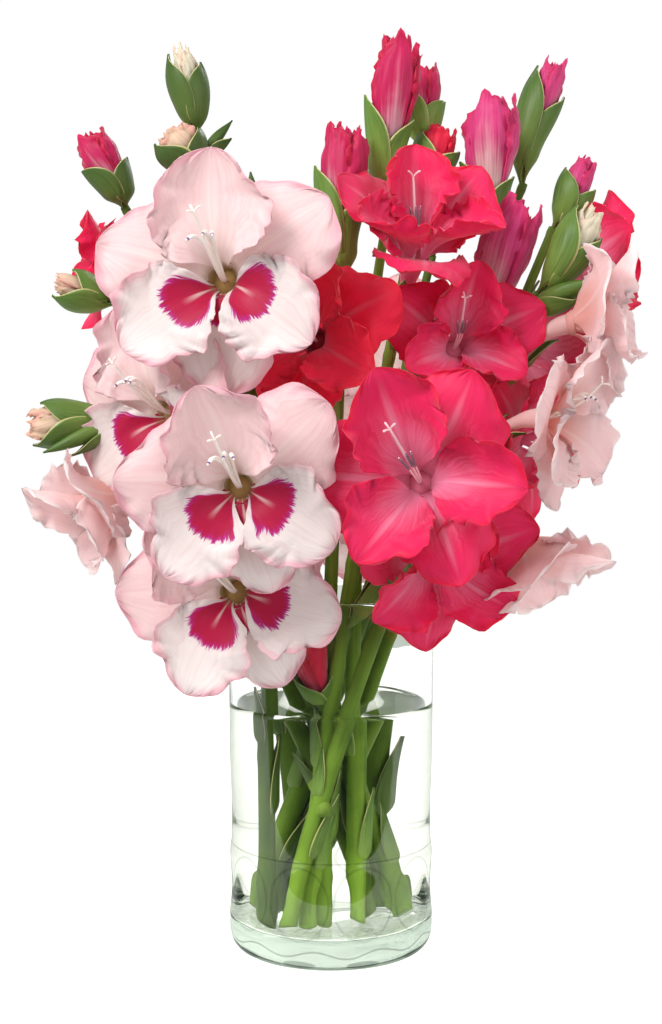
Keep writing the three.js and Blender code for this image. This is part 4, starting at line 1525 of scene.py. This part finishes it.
SPIKES = (
    Spike(
        "a", (-30, -24), (-31, -28, 165), (-32, -38, 330), (-73, -10, 430),
        bright=0.25,
        florets=(
            Floret("1", 0.405, (-50, -66, 196), (-6, 0), 26, 0.98, 1, Tint.PALE, True, 36),
            Floret("2", 0.51, (-45, -100, 250), (-4, -2), 12, 0.98, 1, Tint.PALE, True, 38),
            Floret("3", 0.63, (-92, -51, 286), (-44, 0), 6, 0.96, 1, Tint.PALE, True, 38),
            Floret("4", 0.76, (-55, -86, 352), (-12, 6), 8, 1.02, 1, Tint.PALE, True, 38),
        ),
        buds=(
            Bud("5", 0.93, (-84, -22, 434), 9, 22, Tint.PEACH),
            Bud("6", 1, (-78, -10, 479), 5, 34, Tint.CREAM),
        ),
        leaves=(Leaf(0.96, (-52, -4, 440), 3.4),),
    ),
    Spike(
        "b", (18, -6), (-2, -6, 110), (-58, -8, 236), (-114, -22, 284),
        bright=0.5,
        florets=(Floret("1", 0.83, (-116, -32, 236), (-64, -26), 20, 0.86, 0.45, Tint.SALMON),),
        buds=(Bud("2", 1, (-160, -24, 279), 8, 32, Tint.PEACH),),
        leaves=(Leaf(0.97, (-148, -34, 266), 5),),
    ),
    Spike(
        "c", (31, -6), (10, -6, 110), (-56, 4, 262), (-114, -6, 345),
        bright=0.7,
        buds=(
            Bud("1", 1, (-146, -14, 356), 5.5, 24, Tint.PEACH),
            Bud("2", 0.95, (-112, -16, 376), 7, 20, Tint.ROSE),
        ),
    ),
    Spike(
        "d", (22, 24), (4, 24, 110), (-62, 26, 300), (-114, 34, 400),
        bright=0.35,
        florets=(
            Floret("1", 0.64, (-104, 30, 258), (-96, -10), 0, 0.9, 0.8, Tint.HOT),
            Floret("2", 0.86, (-120, 32, 364), (-74, 10), -8, 0.72, 0.5, Tint.HOT),
        ),
        buds=(Bud("3", 1, (-134, 32, 442), 9, 22, Tint.ROSE),),
    ),
    Spike(
        "e", (-4, -16), (-4, -16, 130), (2, -14, 250), (7, -10, 356),
        bright=0.9,
        florets=(Floret("1", 0.74, (-12, -50, 325), (-20, 10), 0, 0.86, 0.85, Tint.CRIMSON, rows=34),),
        buds=(
            Bud("2", 1, (9, -12, 439), 11, 46, Tint.ROSE),
            Bud("3", 0.34, (-17, -38, 186), 9.5, 16, Tint.CRIMSON),
        ),
    ),
    Spike(
        "f", (11, -17), (11, -18, 140), (10, 8, 290), (32, 14, 400),
        bright=1.0,
        buds=(Bud("2", 1, (38, 2, 489), 11, 42, Tint.ROSE),),
    ),
    Spike(
        "g", (-10, -25), (-9, -25, 110), (26, -30, 300), (54, 30, 430),
        bright=1.0, stubs=((0.22, 200.0), (0.3, 100.0)),
        florets=(
            Floret("1", 0.42, (53, -62, 211), (20, -24), 0, 0.9, 0.75, Tint.HOT, rows=31),
            Floret("2", 0.5, (42, -94, 255), (-6, 10), 28, 1.0, 0.8, Tint.HOT, True, 38),
            Floret("3", 0.68, (66, -36, 322), (12, 14), 0, 0.82, 0.62, Tint.HOT, rows=34),
            Floret("4", 0.74, (44, -38, 376), (14, 52), 0, 1.0, 0.52, Tint.HOT, rows=34),
        ),
        buds=(
            Bud("5", 0.94, (62, 16, 442), 8, 24, Tint.CRIMSON),
            Bud("6", 1, (52, 40, 479), 8, 26, Tint.ROSE),
        ),
    ),
    Spike(
        "h", (-28, 5), (-16, 5, 110), (60, 4, 276), (90, 16, 384),
        bright=0.5,
        florets=(Floret("2", 0.64, (108, -6, 274), (52, 0), 0, 0.84, 0.8, Tint.HOT),),
        buds=(
            Bud("3", 0.82, (103, -10, 399), 12, 30, Tint.CANDY),
            Bud("4", 1, (88, 14, 459), 13, 28, Tint.CANDY),
        ),
    ),
    Spike(
        "i", (-22, 14), (-4, 10, 150), (60, 34, 290), (108, 50, 415),
        bright=0.45,
        florets=(Floret("1", 0.66, (122, 66, 322), (118, 10), 0, 0.9, 0.9, Tint.HOT),),
        buds=(Bud("2", 1, (127, 50, 485), 7, 50, Tint.CANDY),),
    ),
    Spike(
        "j", (-16, 5), (6, 6, 110), (82, 22, 292), (122, 30, 388),
        bright=0.6,
        florets=(Floret("1", 0.82, (143, 34, 366), (98, 14), 0, 0.86, 0.7, Tint.HOT),),
        buds=(
            Bud("2", 1, (142, 28, 427), 6, 26, Tint.CANDY),
            Bud("3", 0.42, (37, -18, 202), 9.5, 16, Tint.ROSE),
        ),
    ),
    Spike(
        "k", (-21, -34), (-2, -39, 120), (44, -18, 240), (108, -16, 349),
        bright=0.75, stubs=((0.2, 150.0),),
        florets=(
            Floret("1", 0.58, (102, -34, 212), (52, -54), 0, 0.86, 0.5, Tint.SALMON, rows=31),
            Floret("2", 0.72, (118, -54, 282), (56, -6), 0, 0.86, 0.8, Tint.SALMON, True, 36),
            Floret("3", 0.84, (134, -36, 334), (80, 10), 0, 0.84, 0.6, Tint.SALMON, rows=31),
        ),
        buds=(Bud("4", 1, (138, -22, 393), 7, 38, Tint.CREAM),),
        leaves=(Leaf(0.97, (134, -38, 354), 6),),
    ),
    Spike(
        "m", (-8, 37), (-10, 40, 120), (-36, 44, 300), (-42, 62, 384),
        bright=0.3,
        florets=(
            Floret("1", 0.5, (-62, 86, 236), (206, -8), 0, 1.0, 1, Tint.HOT),
            Floret("2", 0.74, (-46, 98, 326), (188, 6), 0, 1.0, 0.95, Tint.CRIMSON),
        ),
        leaves=(Leaf(1, (-46, 66, 424), 5),),
    ),
    Spike(
        "n", (12, 37), (12, 35, 150), (34, 44, 290), (58, 62, 376),
        bright=0.4,
        florets=(
            Floret("1", 0.44, (40, 96, 225), (164, -10), 0, 1.0, 1, Tint.PALE),
            Floret("2", 0.7, (42, 108, 312), (174, 6), 0, 1.0, 1, Tint.PALE),
        ),
        leaves=(Leaf(1, (64, 64, 412), 5),),
    ),
)


def main() -> None:
    """Builds the studio, the vase, the water and every spike, in order."""
    logging.basicConfig(level=logging.INFO, format="%(name)s: %(message)s")
    Studio().build()
    palette = Palette()
    vase = Vase()
    vase.build(palette)
    vase.build_water(palette)
    for row, spike in enumerate(SPIKES):
        spike.build(palette, row)


if __name__ == "__main__":
    main()
